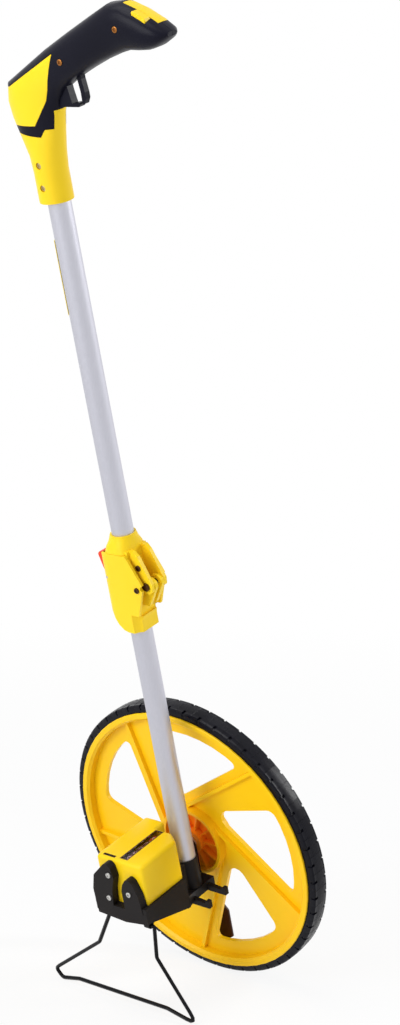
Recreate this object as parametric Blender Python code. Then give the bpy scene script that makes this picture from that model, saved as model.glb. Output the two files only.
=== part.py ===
"""Measuring wheel with a folding mast, parked on its wire stand.

Metres, +Z up. The pieces are modelled upright, with the wheel's axle along Y, and one empty
leans the whole device on its stand. Y = 0 is the tyre's near side, +X points to the user,
and -Y is the side of the counter and the stand.
"""
import math

import bmesh
import bpy
from mathutils import Matrix, Vector

MM = 0.001

# Fits and general sizes
GAP = 0.3 * MM
RUN_GAP = 0.45 * MM
CUT = 4.0 * MM
LEAN = math.radians(14.5)

# Wheel
WHEEL_RADIUS = 159.15 * MM
TYRE_WIDTH = 21.0 * MM
TYRE_DEPTH = 8.85 * MM
TYRE_BEAD = 3.6 * MM
SHOULDER_DROP = 3.0 * MM
TREAD_DEPTH = 1.1 * MM
TREAD_BLOCKS = 50
BLOCK_SHARE = 0.86
GROOVE_SHARES = (0.90, 0.96)
FLANGE_THICK = 2.2 * MM
RIM_WALL = 4.2 * MM
RIM_ROUND = 2.6 * MM
WEB_THICK = 4.6 * MM
SPOKES = 5
SPOKE_ANGLE = math.radians(-14.5)
RIB_OFFSET = 35.0 * MM
RIB_THICK = 4.0 * MM
RIB_PROUD = 4.6 * MM
OPENING_RADIUS = 126.0 * MM
OPENING_OFFSET = 46.0 * MM
OPENING_EDGE_OFFSET = 30.0 * MM
OPENING_EDGE_ANGLE = math.radians(54.0)
OPENING_FILLET = 11.0 * MM
HUB_RING_RADIUS = 38.0 * MM
HUB_RING_WALL = 3.4 * MM
HUB_BARREL_RADIUS = 13.0 * MM
HUB_PROUD = 2.0 * MM
HUB_RIBS = 10
HUB_RIB_THICK = 2.0 * MM
HUB_RIB_PROUD = 6.5 * MM
HUB_PHASE = math.radians(1.5)

# Axle, pointer and what holds them
AXLE_RADIUS = 4.0 * MM
SPACER_RADIUS = 7.5 * MM
POINTER_THICK = 2.0 * MM
POINTER_EYE_RADIUS = 8.5 * MM
POINTER_EYE_ANGLE = math.radians(-66.0)
POINTER_STEM_WIDTH = 6.0 * MM
POINTER_STEM_END = 92.0 * MM
POINTER_BLADE_WIDTH = 20.0 * MM
POINTER_BLADE_END = 132.0 * MM
POINTER_LENGTH = 139.0 * MM
WASHER_RADIUS = 8.0 * MM
WASHER_THICK = 1.2 * MM
NUT_RADIUS = 7.5 * MM
NUT_THICK = 5.0 * MM
BUSH_RADIUS = 8.0 * MM
BUSH_LIP = 0.8 * MM

# Mast tubes
TUBE_X = 17.0 * MM
TUBE_Y = -32.0 * MM
TUBE_RADIUS = 11.0 * MM
TUBE_WALL = 1.2 * MM
LOWER_TUBE_FOOT = -33.5 * MM
LABEL_ANGLE = math.radians(198.0)
LABEL_WIDTH_ANGLE = math.radians(62.0)
LABEL_LENGTH = 72.0 * MM
LABEL_THICK = 0.5 * MM
LABEL_BELOW_NECK = 30.0 * MM

# Bracket that carries everything
COLLAR_RADIUS = 12.6 * MM
COLLAR_TOP = 4.0 * MM
BRACKET_BOTTOM = -40.0 * MM
BRACKET_WALL = 3.2 * MM
TRAY_LEFT = -26.8 * MM
TRAY_RIGHT = 41.8 * MM
TRAY_FRONT = -126.0 * MM
TRAY_TOP = 2.0 * MM
TRAY_FRONT_BOTTOM = -14.5 * MM
FRONT_PLATE_BOTTOM = -18.2 * MM
FRONT_PLATE_THICK = 3.6 * MM
TRAY_BEND_Y = -62.0 * MM
TRAY_BEND_Z = -33.0 * MM
FRONT_WALL_TOP = -4.0 * MM
EAR_THICK = 8.4 * MM
LEFT_EAR_TOP = 45.0 * MM
RIGHT_EAR_TOP = 33.0 * MM
LEFT_EAR_WIDTH = 32.0 * MM
RIGHT_EAR_WIDTH = 28.5 * MM
PLATE_NEAR_Y = -12.6 * MM
PLATE_THICK = 4.0 * MM
PLATE_RADIUS = 13.0 * MM
ARM_TIP_X = 54.0 * MM
ARM_WIDTH = 5.0 * MM
ARM_THICK = 5.0 * MM
ARM_SPREAD = 13.5 * MM

# Stand
WIRE_RADIUS = 2.1 * MM
STAND_PIVOT_Y = -118.6 * MM
STAND_PIVOT_Z = -21.2 * MM
STAND_LEFT_X = -17.5 * MM
STAND_RIGHT_X = 42.0 * MM
STAND_LUG = 7.0 * MM
STAND_LUG_RADIUS = 3.7 * MM
STAND_ROUND = 6.0 * MM
STAND_REACH = 112.0 * MM
FOOT_Y = -125.5 * MM

# Counter
CASE_LEFT = -23.3 * MM
CASE_RIGHT = 38.3 * MM
CASE_FRONT = -117.2 * MM
CASE_REAR = -51.5 * MM
CASE_CUT_X = 24.0 * MM
CASE_CUT_Y = -62.0 * MM
CASE_TOP = 46.0 * MM
STEP_RIGHT = 2.6 * MM
STEP_REAR = -37.0 * MM
STEP_BOTTOM = 9.5 * MM
CASE_BOTTOM = -2.0 * MM
CASE_WALL = 2.0 * MM
CASE_ROUND = 4.0 * MM
FRAME_BOTTOM = -14.5 * MM
FRAME_THICK = 2.2 * MM
DRUM_SHAFT_X = 10.5 * MM
DRUM_SHAFT_Z = 32.2 * MM
DRUM_SHAFT_RADIUS = 2.4 * MM
DRUM_RADIUS = 10.0 * MM
DRUM_COUNT = 5
GEAR_WIDTH = 3.9 * MM
GEAR_TEETH = 21
IDLER_TEETH = 14
IDLER_PIN_RADIUS = 2.0 * MM
WINDOW_WIDTH = 10.6 * MM
WINDOW_MARGIN = 3.0 * MM
WINDOW_THICK = 1.6 * MM
SLOT_WIDTH = 2.4 * MM
SLOT_LENGTH = 15.0 * MM
SLOT_CENTRE_X = -8.0 * MM
SLOT_FROM_FRONT = 5.0 * MM
RESET_TRAVEL = 3.0 * MM
SLIDER_THICK = 1.2 * MM
SCREW_HEAD_RADIUS = 3.0 * MM
SCREW_HEAD_THICK = 1.6 * MM
SCREW_SHANK_RADIUS = 1.4 * MM

# Brake
SHOE_WIDTH = 14.0 * MM
SHOE_HEIGHT = 8.5 * MM
SHOE_THICK = 3.6 * MM
SHOE_PIN_RADIUS = 2.6 * MM
BRAKE_TRAVEL = 1.6 * MM

# Folding joint of the mast
FOLD_X = 46.0 * MM
JOINT_HALF_WIDTH = 18.0 * MM
CHEEK_THICK = 3.0 * MM
JOINT_BOTTOM = 273.0 * MM
JOINT_HEIGHT = 84.0 * MM
FOLD_HEIGHT_SHARE = 0.6131
BUTTON_PIN_SHARE = 0.6786
BUTTON_HEIGHT_SHARE = 0.2738
JOINT_LEFT = -6.0 * MM
JOINT_BULGE = 2.5 * MM
JOINT_CORNER = 11.0 * MM
JOINT_ROUND = 15.0 * MM
JOINT_CHAMFER = 9.0 * MM
JOINT_COLLAR_RISE = 17.0 * MM
JOINT_COLLAR_WALL = 2.0 * MM
EAR_PLATE = 4.0 * MM
EAR_EYE_RADIUS = 8.6 * MM
FOLD_PIN_RADIUS = 2.6 * MM
PIN_HEAD_RADIUS = 4.2 * MM
PIN_HEAD_THICK = 1.5 * MM
BUTTON_WIDTH = 16.0 * MM
BUTTON_PROUD = 8.5 * MM
BUTTON_PIN_RADIUS = 1.4 * MM
BUTTON_PIN_X = 0.4 * MM
BUTTON_BOSS = 1.6 * MM
BUTTON_SWING = 1.6 * MM
SPRING_PITCH = 1.7 * MM
SPRING_WIRE = 0.32 * MM
SPRING_TURNS = 3

# Handle
HANDLE_SHIFT = 2.0 * MM
HANDLE_BASE = 701.0 * MM
HANDLE_LENGTH = 200.0 * MM
SOCKET_SHARE = 0.28
NECK_WALL = 5.0 * MM
NECK_BACK_WALL = 7.8 * MM
NECK_FRONT_WALL = 2.7 * MM
HANDLE_SHELL = 2.6 * MM
PANEL_GAP = 0.35 * MM
GUARD_WIDTH = 8.0 * MM
TRIGGER_WIDTH = 6.0 * MM
TRIGGER_PIN_RADIUS = 1.5 * MM
THUMB_WIDTH = 8.0 * MM
PLATE_HALF = 3.5 * MM

# Facets
ROUND = 32
FINE_ROUND = 60
SMALL_ROUND = 16
DRUM_FACETS = 20

# Values worked out from the sizes above
FOLD_Z = JOINT_BOTTOM + JOINT_HEIGHT * FOLD_HEIGHT_SHARE
CHEEK_TOP = JOINT_BOTTOM + JOINT_HEIGHT
JOINT_COLLAR_TOP = CHEEK_TOP + JOINT_COLLAR_RISE
BUTTON_PIN_Z = JOINT_BOTTOM + JOINT_HEIGHT * BUTTON_PIN_SHARE
BUTTON_HEIGHT = JOINT_HEIGHT * BUTTON_HEIGHT_SHARE
HANDLE_X = TUBE_X + HANDLE_SHIFT
HANDLE_HALF = TUBE_RADIUS + NECK_WALL
NECK_BACK = TUBE_RADIUS + NECK_BACK_WALL
NECK_FRONT = TUBE_RADIUS + NECK_FRONT_WALL
UPPER_TUBE_END = HANDLE_BASE + HANDLE_LENGTH * SOCKET_SHARE
WHEEL_MID_Y = TYRE_WIDTH / 2
RIM_EDGE_RADIUS = WHEEL_RADIUS - TYRE_DEPTH
RIM_SEAT_RADIUS = RIM_EDGE_RADIUS - TYRE_BEAD - GAP
RIM_INNER_RADIUS = RIM_SEAT_RADIUS - RIM_WALL
RIM_NEAR_Y = -GAP - FLANGE_THICK
RIM_FAR_Y = TYRE_WIDTH + GAP + FLANGE_THICK
HUB_NEAR_Y = -HUB_PROUD
HUB_FAR_Y = TYRE_WIDTH + HUB_PROUD
PLATE_FAR_Y = PLATE_NEAR_Y + PLATE_THICK
GEAR_NEAR_Y = CASE_FRONT + CASE_WALL + GAP
GEAR_FAR_Y = GEAR_NEAR_Y + GEAR_WIDTH
FRAME_NEAR_Y = GEAR_FAR_Y + GAP
FRAME_FAR_Y = CASE_REAR - 3 * CASE_WALL
GEAR_DISTANCE = math.hypot(DRUM_SHAFT_X, DRUM_SHAFT_Z)
GEAR_ANGLE = math.atan2(DRUM_SHAFT_Z, DRUM_SHAFT_X)
GEAR_MODULE = GEAR_DISTANCE / (GEAR_TEETH + IDLER_TEETH)
SLOT_HALF = JOINT_HALF_WIDTH - CHEEK_THICK
COLORS = {
    "yellow": ((0.93, 0.72, 0.02, 1.0), 0.38, 0.0),
    "black": ((0.018, 0.018, 0.022, 1.0), 0.45, 0.0),
    "rubber": ((0.025, 0.025, 0.03, 1.0), 0.7, 0.0),
    "aluminium": ((0.78, 0.77, 0.8, 1.0), 0.35, 1.0),
    "steel": ((0.62, 0.61, 0.6, 1.0), 0.3, 1.0),
    "brass": ((0.5, 0.3, 0.12, 1.0), 0.35, 1.0),
    "wire": ((0.02, 0.02, 0.022, 1.0), 0.35, 0.0),
    "red": ((0.8, 0.05, 0.02, 1.0), 0.4, 0.0),
    "ivory": ((0.85, 0.84, 0.8, 1.0), 0.5, 0.0),
    "glass": ((0.25, 0.2, 0.22, 0.5), 0.1, 0.0),
    "brown": ((0.1, 0.04, 0.025, 1.0), 0.45, 0.0),
}


def clear_scene():
    for item in list(bpy.data.objects):
        bpy.data.objects.remove(item, do_unlink=True)


def material(name):
    found = bpy.data.materials.get(name)
    if found:
        return found
    color, roughness, metallic = COLORS[name]
    made = bpy.data.materials.new(name)
    made.use_nodes = True
    shader = made.node_tree.nodes["Principled BSDF"]
    shader.inputs["Base Color"].default_value = color
    shader.inputs["Roughness"].default_value = roughness
    shader.inputs["Metallic"].default_value = metallic
    return made


def empty(name, place, parent=None):
    made = bpy.data.objects.new(name, None)
    bpy.context.scene.collection.objects.link(made)
    made.location = place
    made.parent = parent
    return made


def node(name, mesh_tool, color, parent, smooth=35.0):
    """Turn a bmesh into an object whose mesh is drawn in its parent's frame."""
    bmesh.ops.remove_doubles(mesh_tool, verts=mesh_tool.verts, dist=GAP / 100)
    bmesh.ops.recalc_face_normals(mesh_tool, faces=mesh_tool.faces)
    mesh = bpy.data.meshes.new(name)
    mesh_tool.to_mesh(mesh)
    mesh_tool.free()
    mesh.shade_smooth()
    mesh.set_sharp_from_angle(angle=math.radians(smooth))
    made = bpy.data.objects.new(name, mesh)
    bpy.context.scene.collection.objects.link(made)
    made.parent = parent
    mesh.materials.append(material(color))
    return made


def tool(name, mesh_tool, parent):
    """A cutter or an added shape: seen only by the Boolean that uses it."""
    made = node(name, mesh_tool, "steel", parent)
    made.hide_render = True
    made.display_type = "WIRE"
    return made


def boolean(target, operand, operation):
    change = target.modifiers.new(operand.name, "BOOLEAN")
    change.operation = operation
    change.solver = "EXACT"
    change.object = operand


def cut(target, operand):
    boolean(target, operand, "DIFFERENCE")


def join(target, operand):
    boolean(target, operand, "UNION")


def keep(target, operand):
    boolean(target, operand, "INTERSECT")


def bevel(target, width, segments=2, angle=40.0):
    change = target.modifiers.new("bevel", "BEVEL")
    change.width = width
    change.segments = segments
    change.limit_method = "ANGLE"
    change.angle_limit = math.radians(angle)


def circle(centre_u, centre_v, radius, count, start=0.0):
    steps = [start + 2 * math.pi * i / count for i in range(count)]
    return [(centre_u + radius * math.cos(a), centre_v + radius * math.sin(a)) for a in steps]


def arc(centre_u, centre_v, radius, start, end, count):
    steps = [start + (end - start) * i / (count - 1) for i in range(count)]
    return [(centre_u + radius * math.cos(a), centre_v + radius * math.sin(a)) for a in steps]


def filleted(corners, radius, steps=4):
    """Round each corner of a closed outline; a corner may carry its own radius as a third value."""
    made = []
    count = len(corners)
    for i, corner in enumerate(corners):
        here = Vector(corner[:2])
        wanted = corner[2] if len(corner) > 2 else radius
        before = Vector(corners[i - 1][:2]) - here
        after = Vector(corners[(i + 1) % count][:2]) - here
        turn = before.angle(after)
        if wanted <= 0 or turn > math.radians(176):
            made.append(tuple(here))
            continue
        reach = min(wanted / math.tan(turn / 2), before.length * 0.48, after.length * 0.48)
        true_radius = reach * math.tan(turn / 2)
        middle = here + (before.normalized() + after.normalized()).normalized() * (
            true_radius / math.sin(turn / 2))
        first = here + before.normalized() * reach - middle
        last = here + after.normalized() * reach - middle
        sweep = first.angle_signed(last)
        for k in range(steps + 1):
            spun = first.copy()
            spun.rotate(Matrix.Rotation(-sweep * k / steps, 2))
            made.append(tuple(middle + spun))
    return made


AXES = {
    "X": lambda u, v, w: (w, u, v),
    "Y": lambda u, v, w: (u, w, v),
    "Z": lambda u, v, w: (u, v, w),
}


def prism(outline, low, high, along="Y", into=None):
    """Extrude a closed outline between two planes. Along X the outline is (y, z), along Y it is
    (x, z) and along Z it is (x, y)."""
    made = into or bmesh.new()
    place = AXES[along]
    bottom = [made.verts.new(place(u, v, low)) for u, v in outline]
    top = [made.verts.new(place(u, v, high)) for u, v in outline]
    made.faces.new(bottom)
    made.faces.new(list(reversed(top)))
    for i in range(len(outline)):
        j = (i + 1) % len(outline)
        made.faces.new((bottom[i], top[i], top[j], bottom[j]))
    return made


def block(x_low, x_high, y_low, y_high, z_low, z_high, into=None):
    outline = [(x_low, y_low), (x_high, y_low), (x_high, y_high), (x_low, y_high)]
    return prism(outline, z_low, z_high, "Z", into)


def rod(centre_u, centre_v, radius, low, high, along="Y", count=SMALL_ROUND, into=None):
    return prism(circle(centre_u, centre_v, radius, count), low, high, along, into)


def turned(profile, count, along="Y", centre=(0.0, 0.0), phase=0.0):
    """Spin a closed (radius, height) profile that stays off the axis, such as a ring."""
    made = bmesh.new()
    place = AXES[along]
    rings = []
    for i in range(count):
        angle = phase + 2 * math.pi * i / count
        across, up = math.cos(angle), math.sin(angle)
        rings.append([made.verts.new(place(centre[0] + r * across, centre[1] + r * up, h))
                      for r, h in profile])
    for i in range(count):
        here, there = rings[i], rings[(i + 1) % count]
        for k in range(len(profile)):
            m = (k + 1) % len(profile)
            made.faces.new((here[k], there[k], there[m], here[m]))
    return made


def ring(inner, outer, low, high, count=ROUND, along="Y", centre=(0.0, 0.0), phase=0.0):
    profile = [(inner, low), (outer, low), (outer, high), (inner, high)]
    return turned(profile, count, along, centre, phase)


def loft(sections):
    """Skin a row of closed sections of equal count and cap both ends."""
    made = bmesh.new()
    rows = [[made.verts.new(point) for point in section] for section in sections]
    for here, there in zip(rows, rows[1:]):
        for k in range(len(here)):
            m = (k + 1) % len(here)
            made.faces.new((here[k], here[m], there[m], there[k]))
    made.faces.new(rows[0])
    made.faces.new(list(reversed(rows[-1])))
    bmesh.ops.triangulate(made, faces=made.faces)
    return made


def wire(name, points, radius, color, parent, sides):
    """A round wire along a poly line, drawn as a bevelled curve."""
    curve = bpy.data.curves.new(name, "CURVE")
    curve.dimensions = "3D"
    curve.bevel_depth = radius
    curve.bevel_resolution = sides
    curve.use_fill_caps = True
    line = curve.splines.new("POLY")
    line.points.add(len(points) - 1)
    for spot, point in zip(line.points, points):
        spot.co = (*point, 1.0)
    made = bpy.data.objects.new(name, curve)
    bpy.context.scene.collection.objects.link(made)
    made.parent = parent
    curve.materials.append(material(color))


def bent(corners, radii, steps=4):
    """Round the inner corners of an open 3D line of corners."""
    made = [Vector(corners[0])]
    for before, here, after, radius in zip(corners, corners[1:], corners[2:], radii):
        here = Vector(here)
        back = Vector(before) - here
        ahead = Vector(after) - here
        turn = back.angle(ahead)
        reach = min(radius / math.tan(turn / 2), back.length * 0.45, ahead.length * 0.45)
        start = here + back.normalized() * reach
        end = here + ahead.normalized() * reach
        for k in range(steps + 1):
            t = k / steps
            made.append(start * (1 - t) ** 2 + here * 2 * t * (1 - t) + end * t ** 2)
    made.append(Vector(corners[-1]))
    return made


def tooth_outline(teeth, phase):
    """A spur gear's outline with straight flanks and a little backlash."""
    module = GEAR_MODULE
    pitch_radius = module * teeth / 2
    shares = ((-0.25, -1.2), (-0.13, 0.85), (0.13, 0.85), (0.25, -1.2))
    outline = []
    for i in range(teeth):
        for turn_share, height_share in shares:
            angle = phase + 2 * math.pi * (i + turn_share) / teeth
            radius = pitch_radius + height_share * module
            outline.append((radius * math.cos(angle), radius * math.sin(angle)))
    return outline


def spoke_point(index, across, along):
    """A point of spoke number index: along its rib, and across to the opening's side."""
    angle = SPOKE_ANGLE + 2 * math.pi * index / SPOKES
    out = Vector((math.sin(angle), math.cos(angle)))
    side = Vector((-out.y, out.x))
    return tuple(side * across + out * along)


def make_tyre(axis):
    """The tyre: a bead in the rim's channel, square shoulders and a blocked tread."""
    bead = RIM_SEAT_RADIUS + GAP * 1.6
    shoulder = WHEEL_RADIUS - SHOULDER_DROP
    side = SHOULDER_DROP
    made = bmesh.new()
    rings = []
    for i in range(TREAD_BLOCKS):
        for share, drop in ((0.0, 0.0), (BLOCK_SHARE, 0.0), (GROOVE_SHARES[0], TREAD_DEPTH),
                            (GROOVE_SHARES[1], TREAD_DEPTH)):
            angle = 2 * math.pi * (i + share - BLOCK_SHARE / 2) / TREAD_BLOCKS - math.pi / 2
            profile = ((bead, 0.0), (shoulder - drop, 0.0), (WHEEL_RADIUS - drop, side),
                       (WHEEL_RADIUS - drop, TYRE_WIDTH - side), (shoulder - drop, TYRE_WIDTH),
                       (bead, TYRE_WIDTH))
            rings.append([made.verts.new((r * math.cos(angle), y, r * math.sin(angle)))
                          for r, y in profile])
    for here, there in zip(rings, rings[1:] + rings[:1]):
        for k in range(len(here)):
            m = (k + 1) % len(here)
            made.faces.new((here[k], there[k], there[m], here[m]))
    node("tyre", made, "rubber", axis, 20.0)


def opening_outline(index):
    """One opening between spokes: two straight edges and an arc along the rim."""
    edge = OPENING_EDGE_ANGLE
    along = (math.cos(edge) * OPENING_OFFSET - OPENING_EDGE_OFFSET) / math.sin(edge)
    inner = (OPENING_OFFSET, along)
    rib_end = math.asin(OPENING_OFFSET / OPENING_RADIUS)
    run = math.sqrt(OPENING_RADIUS ** 2 - OPENING_EDGE_OFFSET ** 2)
    far_across = OPENING_EDGE_OFFSET * math.cos(edge) + run * math.sin(edge)
    far_along = run * math.cos(edge) - OPENING_EDGE_OFFSET * math.sin(edge)
    edge_end = math.atan2(far_across, far_along)
    corners = [(*spoke_point(index, *inner), OPENING_FILLET)]
    steps = 6
    for k in range(steps + 1):
        angle = rib_end + (edge_end - rib_end) * k / steps
        place = spoke_point(index, OPENING_RADIUS * math.sin(angle),
                            OPENING_RADIUS * math.cos(angle))
        corners.append((*place, OPENING_FILLET if k in (0, steps) else 0.0))
    return filleted(corners, OPENING_FILLET)


def make_wheel_disc(axis):
    """Rim, web with five openings, one rib on each spoke, and the ribbed hub."""
    channel_low, channel_high = -GAP, TYRE_WIDTH + GAP
    flange = RIM_EDGE_RADIUS
    inner = RIM_INNER_RADIUS
    profile = [(RIM_SEAT_RADIUS, channel_low), (flange, channel_low),
               (flange, RIM_NEAR_Y + RIM_ROUND / 4), (flange - RIM_ROUND / 4, RIM_NEAR_Y),
               (inner + RIM_ROUND, RIM_NEAR_Y), (inner, RIM_NEAR_Y + RIM_ROUND),
               (inner, RIM_FAR_Y - RIM_ROUND), (inner + RIM_ROUND, RIM_FAR_Y),
               (flange - RIM_ROUND / 4, RIM_FAR_Y), (flange, RIM_FAR_Y - RIM_ROUND / 4),
               (flange, channel_high), (RIM_SEAT_RADIUS, channel_high)]
    disc = node("wheel_disc", turned(profile, FINE_ROUND), "yellow", axis, 30.0)
    web_low, web_high = WHEEL_MID_Y - WEB_THICK / 2, WHEEL_MID_Y + WEB_THICK / 2
    web = prism(circle(0.0, 0.0, inner + RIM_WALL / 2, FINE_ROUND, HUB_PHASE), web_low, web_high)
    join(disc, tool("wheel_web", web, axis))
    hub = ring(HUB_RING_RADIUS - HUB_RING_WALL, HUB_RING_RADIUS, HUB_NEAR_Y, HUB_FAR_Y, 40,
               phase=HUB_PHASE)
    join(disc, tool("hub_ring", hub, axis))
    openings = bmesh.new()
    for i in range(SPOKES):
        prism(opening_outline(i), web_low - CUT, web_high + CUT, "Y", openings)
    cut(disc, tool("spoke_openings", openings, axis))
    ribs = bmesh.new()
    rib_end = math.sqrt((inner + RIM_WALL / 3) ** 2 - RIB_OFFSET ** 2)
    for i in range(SPOKES):
        outline = [spoke_point(i, RIB_OFFSET - RIB_THICK / 2, RIB_THICK),
                   spoke_point(i, RIB_OFFSET + RIB_THICK / 2, RIB_THICK),
                   spoke_point(i, RIB_OFFSET + RIB_THICK / 2, rib_end),
                   spoke_point(i, RIB_OFFSET - RIB_THICK / 2, rib_end)]
        prism(outline, web_low - RIB_PROUD, web_high + RIB_PROUD, "Y", ribs)
    join(disc, tool("spoke_ribs", ribs, axis))
    spokes = bmesh.new()
    for i in range(HUB_RIBS):
        angle = 2 * math.pi * i / HUB_RIBS
        out = Vector((math.cos(angle), math.sin(angle)))
        side = Vector((-out.y, out.x)) * (HUB_RIB_THICK / 2)
        near = out * (HUB_BARREL_RADIUS - HUB_RING_WALL / 2)
        far = out * (HUB_RING_RADIUS - HUB_RING_WALL / 2)
        outline = [tuple(near - side), tuple(far - side), tuple(far + side), tuple(near + side)]
        prism(outline, web_low - HUB_RIB_PROUD, web_high + HUB_RIB_PROUD, "Y", spokes)
    join(disc, tool("hub_ribs", spokes, axis))
    barrel = rod(0.0, 0.0, HUB_BARREL_RADIUS, HUB_NEAR_Y, HUB_FAR_Y, count=ROUND)
    join(disc, tool("hub_barrel", barrel, axis))
    bore = rod(0.0, 0.0, AXLE_RADIUS + GAP, HUB_NEAR_Y - CUT, HUB_FAR_Y + CUT, count=24)
    cut(disc, tool("hub_bore", bore, axis))


def make_axle(axis):
    """The axle turns with the wheel; a nut clamps the washer and leaves the pointer free."""
    pointer_near = HUB_FAR_Y + RUN_GAP
    washer_near = pointer_near + POINTER_THICK + RUN_GAP
    nut_near = washer_near + WASHER_THICK + GAP
    end = nut_near + NUT_THICK + AXLE_RADIUS / 2
    node("axle", rod(0.0, 0.0, AXLE_RADIUS, GEAR_NEAR_Y, end, count=20), "steel", axis)
    bore = AXLE_RADIUS + GAP
    spacer = ring(bore, SPACER_RADIUS, PLATE_FAR_Y + BUSH_LIP + 2 * GAP, HUB_NEAR_Y - GAP, 24)
    node("axle_spacer", spacer, "steel", axis)
    washer = ring(bore, WASHER_RADIUS, washer_near, washer_near + WASHER_THICK, 24)
    node("axle_washer", washer, "steel", axis)
    nut = node("axle_nut", prism(circle(0.0, 0.0, NUT_RADIUS, 6), nut_near,
                                 nut_near + NUT_THICK), "steel", axis)
    cut(nut, tool("axle_nut_bore", rod(0.0, 0.0, bore, nut_near - CUT,
                                       nut_near + NUT_THICK + CUT), axis))
    return pointer_near


def make_pointer(parent, near_y):
    """A plate that hangs from the axle and always points straight down."""
    half_stem = POINTER_STEM_WIDTH / 2
    half_blade = POINTER_BLADE_WIDTH / 2
    head = arc(0.0, 0.0, POINTER_EYE_RADIUS, POINTER_EYE_ANGLE, math.pi - POINTER_EYE_ANGLE, 15)
    step = POINTER_STEM_END + POINTER_BLADE_WIDTH / 3
    outline = head + [(-half_stem, -POINTER_STEM_END / 3), (-half_stem * 1.4, -POINTER_STEM_END),
                      (-half_blade, -step), (-half_blade, -POINTER_BLADE_END),
                      (0.0, -POINTER_LENGTH), (half_blade, -POINTER_BLADE_END),
                      (half_blade, -step), (half_stem * 1.4, -POINTER_STEM_END),
                      (half_stem, -POINTER_STEM_END / 3)]
    plate = prism(outline, near_y, near_y + POINTER_THICK)
    pointer = node("pointer", plate, "brown", parent)
    hole = rod(0.0, 0.0, AXLE_RADIUS + RUN_GAP, near_y - CUT, near_y + POINTER_THICK + CUT,
               count=20)
    cut(pointer, tool("pointer_hole", hole, parent))


def case_plan(grow, rear):
    """Plan (x, y) of the counter: a box whose rear right corner is cut to clear the mast."""
    outline = [(CASE_LEFT, CASE_FRONT), (CASE_RIGHT, CASE_FRONT), (CASE_RIGHT, CASE_CUT_Y),
               (CASE_CUT_X, rear), (CASE_LEFT, rear)]
    return grown(outline, grow)


# Corners of the stand: across as a share of its reach, down as a share of its height
STAND_SHARES = ((STAND_LEFT_X / STAND_REACH, 0.0), (-0.355, 0.40), (-1.0, 0.91), (-0.92, 1.0),
                (-0.70, 0.945), (0.39, 0.925), (0.74, 1.0), (0.35, 0.36),
                (STAND_RIGHT_X / STAND_REACH, 0.0))


def tray_outline(inset, high):
    """Side view (y, z) of the tray, drawn in by a wall."""
    rear = CASE_REAR + GAP + BRACKET_WALL
    return [(TRAY_FRONT, TRAY_FRONT_BOTTOM + inset), (TRAY_BEND_Y, TRAY_BEND_Z + inset),
            (rear, BRACKET_BOTTOM + 2 * inset), (rear, high), (TRAY_FRONT, high)]


LEFT_EAR_SHARES = ((0.02, -0.20), (0.0, 0.22), (0.15, 0.62), (0.66, 0.98), (0.80, 1.0),
                   (0.93, 0.92), (1.0, 0.66), (0.84, 0.30), (0.74, -0.20))
RIGHT_EAR_SHARES = ((0.0, -0.25), (0.0, 0.52), (0.09, 0.76), (0.28, 0.98), (0.42, 1.0),
                    (0.57, 0.88), (0.76, 0.48), (0.86, -0.25))
ARM_SHARES = ((0.0, 0.0), (1.0, 0.0), (1.0, 1.7), (0.86, 1.7), (0.80, 1.05), (0.0, 1.5))


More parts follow.
